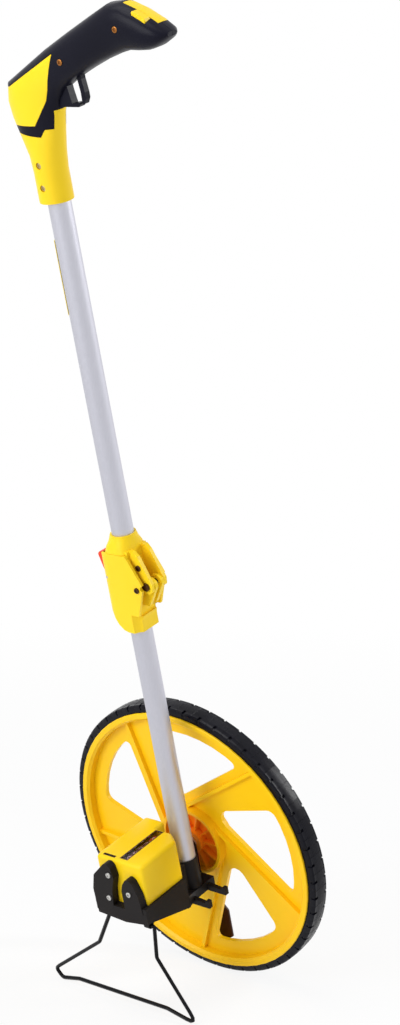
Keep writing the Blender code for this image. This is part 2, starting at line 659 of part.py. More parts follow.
def make_bracket(parent):
    """Collar for the mast, tray for the counter, axle plate, ears, fold rest and stand lugs."""
    wall = GAP + BRACKET_WALL
    tray = prism(tray_outline(0.0, TRAY_TOP), TRAY_LEFT, TRAY_RIGHT, "X")
    bracket = node("base_bracket", tray, "black", parent, 30.0)
    hollow = prism(tray_outline(BRACKET_WALL, TRAY_TOP + CUT), TRAY_LEFT - CUT,
                   TRAY_RIGHT + CUT, "X")
    hollow_tool = tool("tray_hollow", hollow, parent)
    keep(hollow_tool, tool("tray_inside", prism(case_plan(GAP, CASE_REAR), BRACKET_BOTTOM - CUT,
                                                TRAY_TOP + 2 * CUT, "Z"), parent))
    outside = [(TRAY_LEFT, TRAY_FRONT), (TRAY_RIGHT, TRAY_FRONT), (TRAY_RIGHT, CASE_CUT_Y),
               (CASE_CUT_X + wall, CASE_REAR + wall), (TRAY_LEFT, CASE_REAR + wall)]
    keep(bracket, tool("tray_plan", prism(outside, BRACKET_BOTTOM - CUT, COLLAR_TOP + CUT, "Z"),
                       parent))
    foot_top = BRACKET_BOTTOM + 2 * ARM_THICK
    foot = block(TUBE_X - COLLAR_RADIUS - BRACKET_WALL, TUBE_X + COLLAR_RADIUS + GAP,
                 CASE_REAR + GAP, PLATE_FAR_Y - GAP, BRACKET_BOTTOM, foot_top)
    join(bracket, tool("collar_foot", foot, parent))
    collar = rod(TUBE_X, TUBE_Y, COLLAR_RADIUS, BRACKET_BOTTOM + GAP, COLLAR_TOP, "Z", ROUND)
    join(bracket, tool("collar", collar, parent))
    web = [(CASE_CUT_X + GAP, CASE_REAR + GAP), (TUBE_X + COLLAR_RADIUS * 0.6, TUBE_Y),
           (TUBE_X - COLLAR_RADIUS * 0.6, TUBE_Y), (CASE_CUT_X - COLLAR_RADIUS / 3,
                                                    CASE_REAR + GAP)]
    join(bracket, tool("collar_web", prism(web, foot_top - GAP, COLLAR_TOP - GAP, "Z"), parent))
    plate_outline = arc(0.0, 0.0, PLATE_RADIUS, 0.0, math.pi, 13)
    plate_outline += [(-PLATE_RADIUS, BRACKET_BOTTOM + GAP / 2),
                      (PLATE_RADIUS, BRACKET_BOTTOM + GAP / 2)]
    join(bracket, tool("axle_plate", prism(plate_outline, PLATE_NEAR_Y, PLATE_FAR_Y), parent))
    front_bottom = TRAY_BEND_Z + (TRAY_BEND_Y - CASE_CUT_Y) * 0.3
    gusset = []
    for y, x_low, x_high, z_low, z_high in (
            (CASE_CUT_Y - BRACKET_WALL, TRAY_RIGHT - 2 * BRACKET_WALL, TRAY_RIGHT - GAP,
             front_bottom, front_bottom + 4 * BRACKET_WALL),
            (TUBE_Y - COLLAR_RADIUS / 2, TUBE_X, TUBE_X + COLLAR_RADIUS - GAP,
             BRACKET_BOTTOM + GAP, foot_top - GAP)):
        gusset.append([(x_low, y, z_low), (x_high, y, z_low), (x_high, y, z_high),
                       (x_low, y, z_high)])
    join(bracket, tool("tray_gusset", loft(gusset), parent))
    tie = block(-PLATE_RADIUS + GAP, TUBE_X, TUBE_Y, PLATE_NEAR_Y + GAP, BRACKET_BOTTOM + GAP,
                foot_top + ARM_THICK)
    join(bracket, tool("plate_tie", tie, parent))
    cut(bracket, hollow_tool)
    front = block(TRAY_LEFT + EAR_THICK / 2, TRAY_RIGHT - EAR_THICK / 2, TRAY_FRONT - CUT,
                  CASE_FRONT, FRONT_WALL_TOP, TRAY_TOP + CUT)
    cut(bracket, tool("tray_front_cut", front, parent))
    front_end = TRAY_FRONT + FRONT_PLATE_THICK
    plate_shares = ((0.02, 1.0), (0.55, 1.12), (1.0, 0.86))
    width = TRAY_RIGHT - TRAY_LEFT
    low_edge = [(TRAY_LEFT + share * width, FRONT_PLATE_BOTTOM * deep)
                for share, deep in plate_shares]
    front_plate = prism(low_edge + [(TRAY_RIGHT, FRONT_WALL_TOP - GAP),
                                    (TRAY_LEFT, FRONT_WALL_TOP - GAP)],
                        TRAY_FRONT - GAP / 2, front_end)
    join(bracket, tool("front_plate", front_plate, parent))
    ears = bmesh.new()
    ear_end = min(TRAY_FRONT + EAR_THICK, CASE_FRONT - GAP)
    for left, wide, top, shares in ((TRAY_LEFT, LEFT_EAR_WIDTH, LEFT_EAR_TOP, LEFT_EAR_SHARES),
                                    (TRAY_RIGHT - RIGHT_EAR_WIDTH, RIGHT_EAR_WIDTH,
                                     RIGHT_EAR_TOP, RIGHT_EAR_SHARES)):
        outline = [(left + u * wide, top * v) for u, v in shares]
        prism(filleted(outline, EAR_THICK / 3, 2), TRAY_FRONT - GAP, ear_end, "Y", ears)
    join(bracket, tool("bracket_ears", ears, parent))
    arms = bmesh.new()
    root = TUBE_X + COLLAR_RADIUS - ARM_THICK
    for side in (-1, 1):
        middle = TUBE_Y + side * ARM_SPREAD
        outline = [(root + u * (ARM_TIP_X - root), BRACKET_BOTTOM - GAP + v * ARM_THICK)
                   for u, v in ARM_SHARES]
        prism(outline, middle - ARM_WIDTH / 2, middle + ARM_WIDTH / 2, "Y", arms)
    join(bracket, tool("fold_rest", arms, parent))
    lugs = bmesh.new()
    clear = WIRE_RADIUS * 1.8
    near, far = STAND_PIVOT_Y - STAND_LUG_RADIUS, STAND_PIVOT_Y + 2 * STAND_LUG_RADIUS
    slope = (TRAY_BEND_Z - TRAY_FRONT_BOTTOM) / (TRAY_BEND_Y - TRAY_FRONT)
    near_top, far_top = (TRAY_FRONT_BOTTOM + BRACKET_WALL / 2 + slope * (y - TRAY_FRONT)
                         for y in (near, far))
    for inner, way in ((STAND_LEFT_X + clear, 1), (STAND_RIGHT_X - clear, -1)):
        low, high = sorted((inner, inner + way * STAND_LUG))
        outline = [(near, near_top), (near, STAND_PIVOT_Z)]
        outline += arc(STAND_PIVOT_Y, STAND_PIVOT_Z, STAND_LUG_RADIUS, math.pi * 1.12,
                       math.pi * 1.88, 6)
        outline += [(STAND_PIVOT_Y + STAND_LUG_RADIUS, STAND_PIVOT_Z),
                    (far, far_top)]
        prism(outline, low, high, "X", lugs)
    join(bracket, tool("stand_lugs", lugs, parent))
    bore = rod(TUBE_X, TUBE_Y, TUBE_RADIUS + GAP, LOWER_TUBE_FOOT - GAP, COLLAR_TOP + CUT, "Z",
               ROUND)
    cut(bracket, tool("collar_bore", bore, parent))
    holes = rod(0.0, 0.0, BUSH_RADIUS + GAP, PLATE_NEAR_Y - CUT, PLATE_FAR_Y + CUT, count=24)
    shoe_z = -(HUB_RING_RADIUS - HUB_RING_WALL)
    rod(0.0, shoe_z, SHOE_PIN_RADIUS + RUN_GAP, TUBE_Y + CUT, PLATE_FAR_Y + CUT, into=holes)
    cut(bracket, tool("plate_holes", holes, parent))
    passage = block(-AXLE_RADIUS - 2 * GAP, AXLE_RADIUS + 2 * GAP, CASE_REAR - CUT,
                    PLATE_NEAR_Y - CUT, -AXLE_RADIUS - 2 * GAP, COLLAR_TOP + CUT)
    cut(bracket, tool("axle_passage", passage, parent))
    pivots = bmesh.new()
    for low, high in ((STAND_LEFT_X - CUT, STAND_LEFT_X + clear + STAND_LUG + CUT),
                      (STAND_RIGHT_X - clear - STAND_LUG - CUT, STAND_RIGHT_X + CUT)):
        rod(STAND_PIVOT_Y, STAND_PIVOT_Z, WIRE_RADIUS + RUN_GAP, low, high, "X", 12, pivots)
    cut(bracket, tool("stand_bores", pivots, parent))
    return bracket, shoe_z


def screw(name, u, v, seat, tip, color, parent):
    """A round-headed screw whose head sits outside its seat plane and whose tip is at tip."""
    way = 1 if tip > seat else -1
    start = seat - way * SCREW_HEAD_THICK
    middle = seat - way * GAP
    profile = ((SCREW_HEAD_RADIUS * 0.7, start),
               (SCREW_HEAD_RADIUS, start + way * SCREW_HEAD_THICK * 0.45),
               (SCREW_HEAD_RADIUS, middle), (SCREW_SHANK_RADIUS, middle),
               (SCREW_SHANK_RADIUS, tip))
    rows = []
    for radius, height in profile:
        rows.append([(u + radius * c, height, v + radius * s)
                     for c, s in circle(0.0, 0.0, 1.0, 12)])
    node(name, loft(rows), color, parent)


def make_counter(parent, wheel_axis):
    """The counter's cover with its window, its lower half and its reset slider."""
    plan = case_plan(0.0, CASE_REAR)[:-1]
    plan += [(STEP_RIGHT, CASE_REAR), (STEP_RIGHT, STEP_REAR), (CASE_LEFT, STEP_REAR)]
    cover = node("counter_cover", prism(plan, CASE_BOTTOM - CASE_ROUND, CASE_TOP, "Z"),
                 "yellow", parent, 30.0)
    bevel(cover, CASE_ROUND, 3, 30.0)
    below = block(CASE_LEFT - CUT, STEP_RIGHT + CUT, CASE_REAR, STEP_REAR + CUT,
                  CASE_BOTTOM - 2 * CASE_ROUND, STEP_BOTTOM)
    cut(cover, tool("step_under", below, parent))
    room = block(CASE_LEFT + CASE_WALL, STEP_RIGHT - CASE_WALL, CASE_REAR - 2 * CASE_WALL,
                 STEP_REAR - CASE_WALL, STEP_BOTTOM + CASE_WALL, CASE_TOP - CASE_WALL)
    cut(cover, tool("step_hollow", room, parent))
    inside = case_plan(-CASE_WALL, CASE_REAR)
    hollow = prism(inside, CASE_BOTTOM - 2 * CASE_ROUND, CASE_TOP - CASE_WALL, "Z")
    cut(cover, tool("cover_hollow", hollow, parent))
    trim = block(CASE_LEFT - CUT, CASE_RIGHT + CUT, CASE_FRONT - CUT, CASE_REAR + CUT,
                 CASE_BOTTOM - 2 * CASE_ROUND, CASE_BOTTOM + CASE_ROUND * 0.1)
    cut(cover, tool("cover_trim", trim, parent))
    window_front = CASE_FRONT + WINDOW_MARGIN + CASE_WALL
    window_rear = CASE_REAR - WINDOW_MARGIN
    window_left = DRUM_SHAFT_X - WINDOW_WIDTH / 2
    window_right = DRUM_SHAFT_X + WINDOW_WIDTH / 2
    openings = block(window_left, window_right, window_front, window_rear,
                     CASE_TOP - CASE_WALL - CUT, CASE_TOP + CUT)
    slot_y = CASE_FRONT + SLOT_FROM_FRONT
    block(SLOT_CENTRE_X - SLOT_LENGTH / 2, SLOT_CENTRE_X + SLOT_LENGTH / 2,
          slot_y - SLOT_WIDTH / 2, slot_y + SLOT_WIDTH / 2, CASE_TOP - CASE_WALL - CUT,
          CASE_TOP + CUT, openings)
    cut(cover, tool("cover_openings", openings, parent))
    passage = block(-AXLE_RADIUS - 2 * GAP, AXLE_RADIUS + 2 * GAP, CASE_REAR - CASE_WALL - GAP,
                    CASE_REAR + CUT, CASE_BOTTOM - CUT, AXLE_RADIUS + 2 * GAP)
    cut(cover, tool("cover_passage", passage, parent))
    window = block(window_left + GAP, window_right - GAP, window_front + GAP,
                   window_rear - GAP, CASE_TOP - CASE_WALL, CASE_TOP - CASE_WALL + WINDOW_THICK)
    node("counter_window", window, "glass", parent)

    rim = CASE_BOTTOM + CASE_ROUND * 0.1 - GAP
    base = node("counter_base", prism(case_plan(0.0, CASE_REAR), FRAME_BOTTOM, rim, "Z"),
                "yellow", parent, 30.0)
    cut(base, tool("base_hollow", prism(inside, FRAME_BOTTOM + CASE_WALL, rim + CUT, "Z"),
                   parent))
    under = prism([(CASE_FRONT - CUT, FRAME_BOTTOM - CUT), (CASE_FRONT - CUT, FRAME_BOTTOM
                                                            + BRACKET_WALL),
                   (CASE_FRONT, FRAME_BOTTOM + BRACKET_WALL),
                   (CASE_FRONT + BRACKET_WALL * 2, FRAME_BOTTOM - CUT)], CASE_LEFT - CUT,
                  CASE_RIGHT + CUT, "X")
    cut(base, tool("base_chamfer", under, parent))
    passage = block(-AXLE_RADIUS - 2 * GAP, AXLE_RADIUS + 2 * GAP, CASE_REAR - CASE_WALL - GAP,
                    CASE_REAR + CUT, -AXLE_RADIUS - 2 * GAP, rim + CUT)
    cut(base, tool("base_passage", passage, parent))

    slider = empty("reset_axis", (SLOT_CENTRE_X, slot_y, CASE_TOP - CASE_WALL - GAP), parent)
    bar_half = SLOT_LENGTH / 2 + RESET_TRAVEL
    bar = block(-bar_half, bar_half, -SLOT_WIDTH, SLOT_WIDTH, -SLIDER_THICK, 0.0)
    reset = node("reset_slider", bar, "black", slider)
    tab = block(-SLOT_WIDTH, SLOT_WIDTH, -SLOT_WIDTH / 2 + GAP, SLOT_WIDTH / 2 - GAP,
                -SLIDER_THICK / 2, CASE_WALL)
    join(reset, tool("reset_tab", tab, slider))
    make_movement(parent, wheel_axis)


def make_movement(parent, wheel_axis):
    """Inside the counter: a frame, a train of three gears, a shaft and five number drums."""
    floor_low = FRAME_BOTTOM + CASE_WALL + GAP
    left = CASE_LEFT + CASE_WALL + GAP
    right = CASE_CUT_X - GAP
    frame = node("counter_frame", block(left, right, FRAME_NEAR_Y, FRAME_FAR_Y, floor_low,
                                        floor_low + FRAME_THICK), "steel", parent)
    frame_top = DRUM_SHAFT_Z + DRUM_SHAFT_RADIUS * 2
    ends = block(left, right, FRAME_NEAR_Y, FRAME_NEAR_Y + FRAME_THICK, floor_low
                 + FRAME_THICK / 2, frame_top)
    block(left, right, FRAME_FAR_Y - FRAME_THICK, FRAME_FAR_Y, floor_low + FRAME_THICK / 2,
          frame_top, ends)
    join(frame, tool("frame_ends", ends, parent))
    bush_bore = rod(0.0, 0.0, BUSH_RADIUS + GAP, FRAME_NEAR_Y - CUT, FRAME_FAR_Y + CUT,
                    count=24)
    cut(frame, tool("frame_bush_bore", bush_bore, parent))
    shaft_bore = rod(DRUM_SHAFT_X, DRUM_SHAFT_Z, DRUM_SHAFT_RADIUS + RUN_GAP,
                     FRAME_NEAR_Y - CUT, FRAME_FAR_Y + CUT)
    cut(frame, tool("frame_shaft_bore", shaft_bore, parent))
    idler_x = DRUM_SHAFT_X / 2
    idler_z = DRUM_SHAFT_Z / 2
    pin_bore = rod(idler_x, idler_z, IDLER_PIN_RADIUS + GAP, FRAME_NEAR_Y - CUT,
                   FRAME_NEAR_Y + FRAME_THICK + CUT)
    cut(frame, tool("frame_pin_bore", pin_bore, parent))
    node("idler_pin", rod(idler_x, idler_z, IDLER_PIN_RADIUS, GEAR_NEAR_Y, FRAME_NEAR_Y
                          + FRAME_THICK, count=12), "steel", parent)

    bore = AXLE_RADIUS + GAP
    drive = tooth_outline(GEAR_TEETH, GEAR_ANGLE)
    drive_gear = node("drive_gear", prism(drive, GEAR_NEAR_Y, GEAR_FAR_Y), "ivory", wheel_axis)
    cut(drive_gear, tool("drive_gear_bore", rod(0.0, 0.0, bore, GEAR_NEAR_Y - CUT, GEAR_FAR_Y
                                                + CUT), wheel_axis))
    idler_axis = empty("idler_axis", (idler_x, 0.0, idler_z), parent)
    idler_outline = tooth_outline(IDLER_TEETH, GEAR_ANGLE + math.pi + math.pi / IDLER_TEETH)
    idler = node("idler_gear", prism(idler_outline, GEAR_NEAR_Y, GEAR_FAR_Y), "ivory",
                 idler_axis)
    cut(idler, tool("idler_bore", rod(0.0, 0.0, IDLER_PIN_RADIUS + RUN_GAP, GEAR_NEAR_Y - CUT,
                                      GEAR_FAR_Y + CUT, count=12), idler_axis))
    shaft_axis = empty("drum_1_axis", (DRUM_SHAFT_X, 0.0, DRUM_SHAFT_Z), parent)
    outline = tooth_outline(GEAR_TEETH, GEAR_ANGLE + math.pi)
    counter_gear = node("counter_gear", prism(outline, GEAR_NEAR_Y, GEAR_FAR_Y), "ivory",
                        shaft_axis)
    cut(counter_gear, tool("counter_gear_bore", rod(0.0, 0.0, DRUM_SHAFT_RADIUS + GAP,
                                                    GEAR_NEAR_Y - CUT, GEAR_FAR_Y + CUT),
                           shaft_axis))
    node("drum_shaft", rod(0.0, 0.0, DRUM_SHAFT_RADIUS, GEAR_NEAR_Y, FRAME_FAR_Y), "steel",
         shaft_axis)
    drums_low = FRAME_NEAR_Y + FRAME_THICK + GAP
    drums_high = FRAME_FAR_Y - FRAME_THICK - GAP
    pitch = (drums_high - drums_low) / DRUM_COUNT
    for i in range(DRUM_COUNT):
        far = drums_high - i * pitch - GAP / 2
        if i:
            axis = empty("drum_%d_axis" % (i + 1), (DRUM_SHAFT_X, 0.0, DRUM_SHAFT_Z), parent)
        else:
            axis = shaft_axis
        drum = ring(DRUM_SHAFT_RADIUS + (RUN_GAP if i else GAP), DRUM_RADIUS, far - pitch + GAP,
                    far, DRUM_FACETS)
        node("number_drum_%d" % (i + 1), drum, "ivory" if i else "red", axis)

    inner = AXLE_RADIUS + RUN_GAP
    outer = BUSH_RADIUS + BUSH_LIP
    lip = FRAME_NEAR_Y + FRAME_THICK + GAP
    bush = [(inner, FRAME_NEAR_Y), (BUSH_RADIUS, FRAME_NEAR_Y), (BUSH_RADIUS, lip), (outer, lip),
            (outer, lip + BUSH_LIP), (inner, lip + BUSH_LIP)]
    node("axle_bush_counter", turned(bush, 24), "brass", parent)
    lip = PLATE_FAR_Y + GAP
    bush = [(inner, PLATE_NEAR_Y), (BUSH_RADIUS, PLATE_NEAR_Y), (BUSH_RADIUS, lip), (outer, lip),
            (outer, lip + BUSH_LIP), (inner, lip + BUSH_LIP)]
    node("axle_bush_plate", turned(bush, 24), "brass", parent)


def make_case_screws(parent, bracket):
    """Screws that clamp the counter's case to the two ears of the bracket."""
    seat = TRAY_FRONT - GAP
    tip = CASE_FRONT - GAP
    right = TRAY_RIGHT - RIGHT_EAR_WIDTH
    places = (("case_screw_upper", TRAY_LEFT + LEFT_EAR_WIDTH * 0.82, LEFT_EAR_TOP * 0.72),
              ("case_screw_lower", TRAY_LEFT + LEFT_EAR_WIDTH * 0.66, LEFT_EAR_TOP * 0.10),
              ("case_screw_right", right + RIGHT_EAR_WIDTH * 0.34, RIGHT_EAR_TOP * 0.48))
    holes = bmesh.new()
    for _, x, z in places:
        rod(x, z, SCREW_SHANK_RADIUS + GAP, seat - CUT, tip + CUT, count=12, into=holes)
    cut(bracket, tool("ear_holes", holes, parent))
    for name, x, z in places:
        screw(name, x, z, seat, tip, "steel", parent)


def make_stand(parent, ground_z):
    """One bent wire: its two ends hook into the bracket's lugs, its bar joins the two feet."""
    axis = empty("stand_axis", (0.0, STAND_PIVOT_Y, STAND_PIVOT_Z), parent)
    foot_z = (ground_z + WIRE_RADIUS - FOOT_Y * math.sin(LEAN)) / math.cos(LEAN)
    drop = foot_z - STAND_PIVOT_Z
    lean = FOOT_Y - STAND_PIVOT_Y
    end_left = STAND_LEFT_X + WIRE_RADIUS * 1.8 + STAND_LUG
    end_right = STAND_RIGHT_X - WIRE_RADIUS * 1.8 - STAND_LUG
    corners = [(end_left, 0.0, 0.0)]
    corners += [(x_share * STAND_REACH, lean * down_share, drop * down_share)
                for x_share, down_share in STAND_SHARES]
    corners += [(end_right, 0.0, 0.0)]
    hook = WIRE_RADIUS * 1.2
    points = bent(corners, [hook] + [STAND_ROUND] * (len(corners) - 4) + [hook])
    wire("stand_wire", points, WIRE_RADIUS, "wire", axis, sides=1)


def make_brake(parent, shoe_z):
    """A shoe that the trigger's cable presses against the hub's ring."""
    axis = empty("brake_axis", (0.0, PLATE_FAR_Y, shoe_z), parent)
    far = HUB_NEAR_Y - GAP - BRAKE_TRAVEL - PLATE_FAR_Y
    shape = block(-SHOE_WIDTH / 2, SHOE_WIDTH / 2, far - SHOE_THICK, far, -SHOE_HEIGHT / 2,
                  SHOE_HEIGHT / 2)
    shoe = node("brake_shoe", shape, "black", axis)
    pin = rod(0.0, 0.0, SHOE_PIN_RADIUS, -PLATE_THICK - SHOE_THICK * 0.7, far - GAP)
    join(shoe, tool("brake_pin", pin, axis))


def make_tubes(parent, mast):
    inner = TUBE_RADIUS - TUBE_WALL
    lower_end = FOLD_Z - EAR_EYE_RADIUS
    lower = ring(inner, TUBE_RADIUS, LOWER_TUBE_FOOT, lower_end, ROUND, "Z", (TUBE_X, TUBE_Y))
    node("lower_tube", lower, "aluminium", parent)
    x, z = TUBE_X - FOLD_X, -FOLD_Z
    start = FOLD_Z + EAR_EYE_RADIUS / 2 + z
    upper = ring(inner, TUBE_RADIUS, start, UPPER_TUBE_END + z, ROUND, "Z", (x, TUBE_Y))
    node("upper_tube", upper, "aluminium", mast)
    top = HANDLE_BASE - LABEL_BELOW_NECK + z
    count = 7
    first_angle = LABEL_ANGLE - LABEL_WIDTH_ANGLE / 2
    last_angle = LABEL_ANGLE + LABEL_WIDTH_ANGLE / 2
    outer = arc(x, TUBE_Y, TUBE_RADIUS + GAP + LABEL_THICK, first_angle, last_angle, count)
    under = arc(x, TUBE_Y, TUBE_RADIUS + GAP, last_angle, first_angle, count)
    node("tube_label", prism(outer + under, top - LABEL_LENGTH, top, "Z"), "yellow", mast)


# Side view of the lower joint half: across as a share of the joint's half width from the
# mast's centre line, up as a share of its height from its foot to the top of its cheeks
JOINT_SHARES = ((0.0, 0.0), (-0.30, 0.02), (-0.62, 0.08), (-0.92, 0.17), (-1.17, 0.29),
                (-1.32, 0.44), (-1.38, 0.60), (-1.34, 0.84), (-1.26, 0.96), (-1.0, 1.0),
                (0.70, 1.0), (0.86, 0.96), (1.60, 0.66), (1.56, 0.58), (0.92, 0.20),
                (0.80, 0.14), (0.80, 0.0))
# Ears of the joint: across and up from the fold pin as shares of the ear's radius
LOWER_EAR_SHARES = ((-1.90, -2.75), (-0.55, -2.75), (0.90, -0.25), (0.85, 0.35), (0.30, 0.80),
                    (-0.45, 0.75), (-0.80, 0.10), (-1.90, -1.20))
UPPER_EAR_SHARES = ((-2.35, 0.32), (-0.95, 0.0), (-0.45, -0.80), (0.20, -0.95), (0.75, -0.60),
                    (0.85, 0.30), (-0.60, 3.60), (-1.15, 4.15), (-2.35, 4.15))
CHEEK_SCREW_SHARES = (-0.85, -0.25)
EAR_SCREW_SHARES = (-0.75, 2.20)


def make_joint(parent, mast):
    """The folding joint: two cheeks on the lower tube, a block between them on the upper."""
    low, high = TUBE_Y - JOINT_HALF_WIDTH, TUBE_Y + JOINT_HALF_WIDTH
    height = CHEEK_TOP - JOINT_BOTTOM
    outline = [(TUBE_X + u * JOINT_HALF_WIDTH, JOINT_BOTTOM + v * height)
               for u, v in JOINT_SHARES]
    lower = node("joint_lower", prism(outline, low, high), "yellow", parent, 30.0)
    plan_left = JOINT_LEFT - JOINT_BULGE
    plan_right = FOLD_X + 2 * EAR_EYE_RADIUS
    plan = filleted([(plan_left, low), (plan_right, low), (plan_right, high),
                     (plan_left, high)], JOINT_ROUND, 5)
    keep(lower, tool("joint_plan", prism(plan, JOINT_BOTTOM - CUT, CHEEK_TOP + CUT, "Z"),
                     parent))
    block_low = FOLD_Z + EAR_PLATE * 0.6
    clear = SLOT_HALF
    wall_x = JOINT_LEFT + CHEEK_THICK
    nose_x = TUBE_X + TUBE_RADIUS + JOINT_COLLAR_WALL * 1.5
    step = block_low - EAR_PLATE / 2
    foot_z = FOLD_Z - 4 * EAR_EYE_RADIUS
    gap_outline = [(wall_x, step), (nose_x, step), (nose_x, foot_z), (plan_right + CUT, foot_z),
                   (plan_right + CUT, CHEEK_TOP + CUT), (wall_x, CHEEK_TOP + CUT)]
    cut(lower, tool("joint_gap", prism(gap_outline, TUBE_Y - clear, TUBE_Y + clear), parent))
    corners = bmesh.new()
    for side, edge in ((-1, low), (1, high)):
        over = edge + side * CUT
        outline = [(nose_x - JOINT_CHAMFER, over), (nose_x + CUT, over),
                   (nose_x + CUT, edge - side * JOINT_CHAMFER),
                   (nose_x - JOINT_CHAMFER / 3, edge - side * JOINT_CHAMFER / 2)]
        prism(outline, JOINT_BOTTOM - CUT, foot_z + JOINT_CHAMFER / 3, "Z", corners)
    cut(lower, tool("joint_corners", corners, parent))
    ears = bmesh.new()
    inner_y = EAR_PLATE * 0.7
    outline = [(FOLD_X + u * EAR_EYE_RADIUS, FOLD_Z + v * EAR_EYE_RADIUS)
               for u, v in LOWER_EAR_SHARES]
    for side in (-1, 1):
        planes = sorted((TUBE_Y + side * inner_y, TUBE_Y + side * (inner_y + EAR_PLATE)))
        prism(filleted(outline, EAR_PLATE / 3, 2), planes[0], planes[1], "Y", ears)
    join(lower, tool("joint_lower_ears", ears, parent))
    foot = rod(TUBE_X, TUBE_Y, TUBE_RADIUS + JOINT_COLLAR_WALL, JOINT_BOTTOM - GAP,
               JOINT_BOTTOM + JOINT_CORNER, "Z", ROUND)
    join(lower, tool("joint_foot", foot, parent))
    bore = rod(TUBE_X, TUBE_Y, TUBE_RADIUS + GAP, JOINT_BOTTOM - CUT, FOLD_Z - EAR_PLATE / 2,
               "Z", ROUND)
    cut(lower, tool("joint_bore", bore, parent))
    holes = rod(FOLD_X, FOLD_Z, FOLD_PIN_RADIUS + RUN_GAP, low - CUT, high + CUT)
    cut(lower, tool("joint_pin_hole", holes, parent))
    half = BUTTON_WIDTH / 2 + GAP
    window = block(plan_left - CUT, wall_x + CUT, TUBE_Y - half, TUBE_Y + half,
                   BUTTON_PIN_Z - BUTTON_WIDTH * 0.35, BUTTON_PIN_Z + BUTTON_HEIGHT + BUTTON_SWING)
    cut(lower, tool("button_window", window, parent))
    pin_hole = rod(BUTTON_PIN_X, BUTTON_PIN_Z, BUTTON_PIN_RADIUS + GAP, low - CUT, high + CUT,
                   count=10)
    cut(lower, tool("button_pin_hole", pin_hole, parent))

    dx, dz = -FOLD_X, -FOLD_Z
    block_left = TUBE_X - TUBE_RADIUS - JOINT_COLLAR_WALL
    block_half = SLOT_HALF - RUN_GAP
    shoulder = CHEEK_TOP + GAP
    outline = [(block_left + dx, block_low + dz), (nose_x + dx, block_low + dz),
               (nose_x + dx, shoulder + dz + CHEEK_THICK),
               (block_left + dx, shoulder + dz + CHEEK_THICK)]
    upper = node("joint_upper", prism(outline, TUBE_Y - block_half, TUBE_Y + block_half),
                 "yellow", mast, 30.0)
    left = JOINT_LEFT + JOINT_CORNER * 0.5
    wall = TUBE_RADIUS + JOINT_COLLAR_WALL
    sections = []
    for height_share, grow_share in ((0.0, 1.0), (0.3, 0.8), (0.65, 0.3), (1.0, 0.0)):
        level = shoulder + (JOINT_COLLAR_TOP - shoulder) * height_share + dz
        section = []
        for c, s in circle(0.0, 0.0, 1.0, 28, HUB_PHASE):
            reach_x = TUBE_X - left if c < 0 else nose_x - TUBE_X
            grown_x = wall + (reach_x - wall) * grow_share
            grown_y = wall + (JOINT_HALF_WIDTH - wall) * grow_share
            power = 1.0 - 0.4 * grow_share
            x = math.copysign(abs(c) ** power, c) * grown_x
            y = math.copysign(abs(s) ** power, s) * grown_y
            section.append((TUBE_X + x + dx, TUBE_Y + y, level))
        sections.append(section)
    join(upper, tool("joint_shoulder", loft(sections), mast))
    ears = bmesh.new()
    outer_y = inner_y + EAR_PLATE + RUN_GAP
    outline = [(u * EAR_EYE_RADIUS, v * EAR_EYE_RADIUS) for u, v in UPPER_EAR_SHARES]
    for side in (-1, 1):
        planes = sorted((TUBE_Y + side * outer_y, TUBE_Y + side * (outer_y + EAR_PLATE)))
        prism(filleted(outline, EAR_PLATE / 2, 2), planes[0], planes[1], "Y", ears)
    join(upper, tool("joint_upper_ears", ears, mast))
    bore = rod(TUBE_X + dx, TUBE_Y, TUBE_RADIUS + GAP, FOLD_Z + dz - CUT,
               JOINT_COLLAR_TOP + dz + CUT, "Z", ROUND)
    cut(upper, tool("joint_upper_bore", bore, mast))
    hole = rod(0.0, 0.0, FOLD_PIN_RADIUS + RUN_GAP, low - CUT, high + CUT)
    cut(upper, tool("joint_upper_hole", hole, mast))

    reach = outer_y + EAR_PLATE + GAP
    pin = rod(FOLD_X, FOLD_Z, FOLD_PIN_RADIUS, TUBE_Y - reach - PIN_HEAD_THICK, TUBE_Y + reach
              + PIN_HEAD_THICK)
    fold_pin = node("fold_pin", pin, "steel", parent)
    heads = rod(FOLD_X, FOLD_Z, PIN_HEAD_RADIUS, TUBE_Y - reach - PIN_HEAD_THICK
                - GAP, TUBE_Y - reach)
    rod(FOLD_X, FOLD_Z, PIN_HEAD_RADIUS, TUBE_Y + reach, TUBE_Y + reach + PIN_HEAD_THICK
        + GAP, into=heads)
    join(fold_pin, tool("fold_pin_heads", heads, parent))
    make_joint_screws(lower, upper, outer_y, parent, mast)


def make_joint_screws(lower, upper, ear_y, parent, mast):
    """A short screw in the near cheek and one in the near ear of the upper half."""
    x, z = (fold + share * EAR_EYE_RADIUS for fold, share in zip((FOLD_X, FOLD_Z),
                                                                 CHEEK_SCREW_SHARES))
    low = TUBE_Y - JOINT_HALF_WIDTH
    tip = TUBE_Y - SLOT_HALF
    hole = rod(x, z, SCREW_SHANK_RADIUS + GAP, low - CUT, tip + CUT / 2, count=12)
    cut(lower, tool("cheek_screw_hole", hole, parent))
    screw("cheek_screw", x, z, low, tip, "steel", parent)
    x, z = (share * EAR_EYE_RADIUS for share in EAR_SCREW_SHARES)
    seat, tip = TUBE_Y - ear_y - EAR_PLATE, TUBE_Y - ear_y
    hole = rod(x, z, SCREW_SHANK_RADIUS + GAP, seat - CUT, tip + RUN_GAP, count=12)
    cut(upper, tool("ear_screw_hole", hole, mast))
    screw("ear_screw", x, z, seat, tip, "steel", mast)


def coil(name, x, z, start, inner, turns, parent):
    """A spring round a pin along Y."""
    steps = 10
    radius = inner + SPRING_WIRE * 1.5
    points = []
    for i in range(turns * steps + 1):
        angle = 2 * math.pi * i / steps
        points.append((x + radius * math.cos(angle), start + SPRING_PITCH * i / steps,
                       z + radius * math.sin(angle)))
    wire(name, points, SPRING_WIRE, "steel", parent, sides=0)


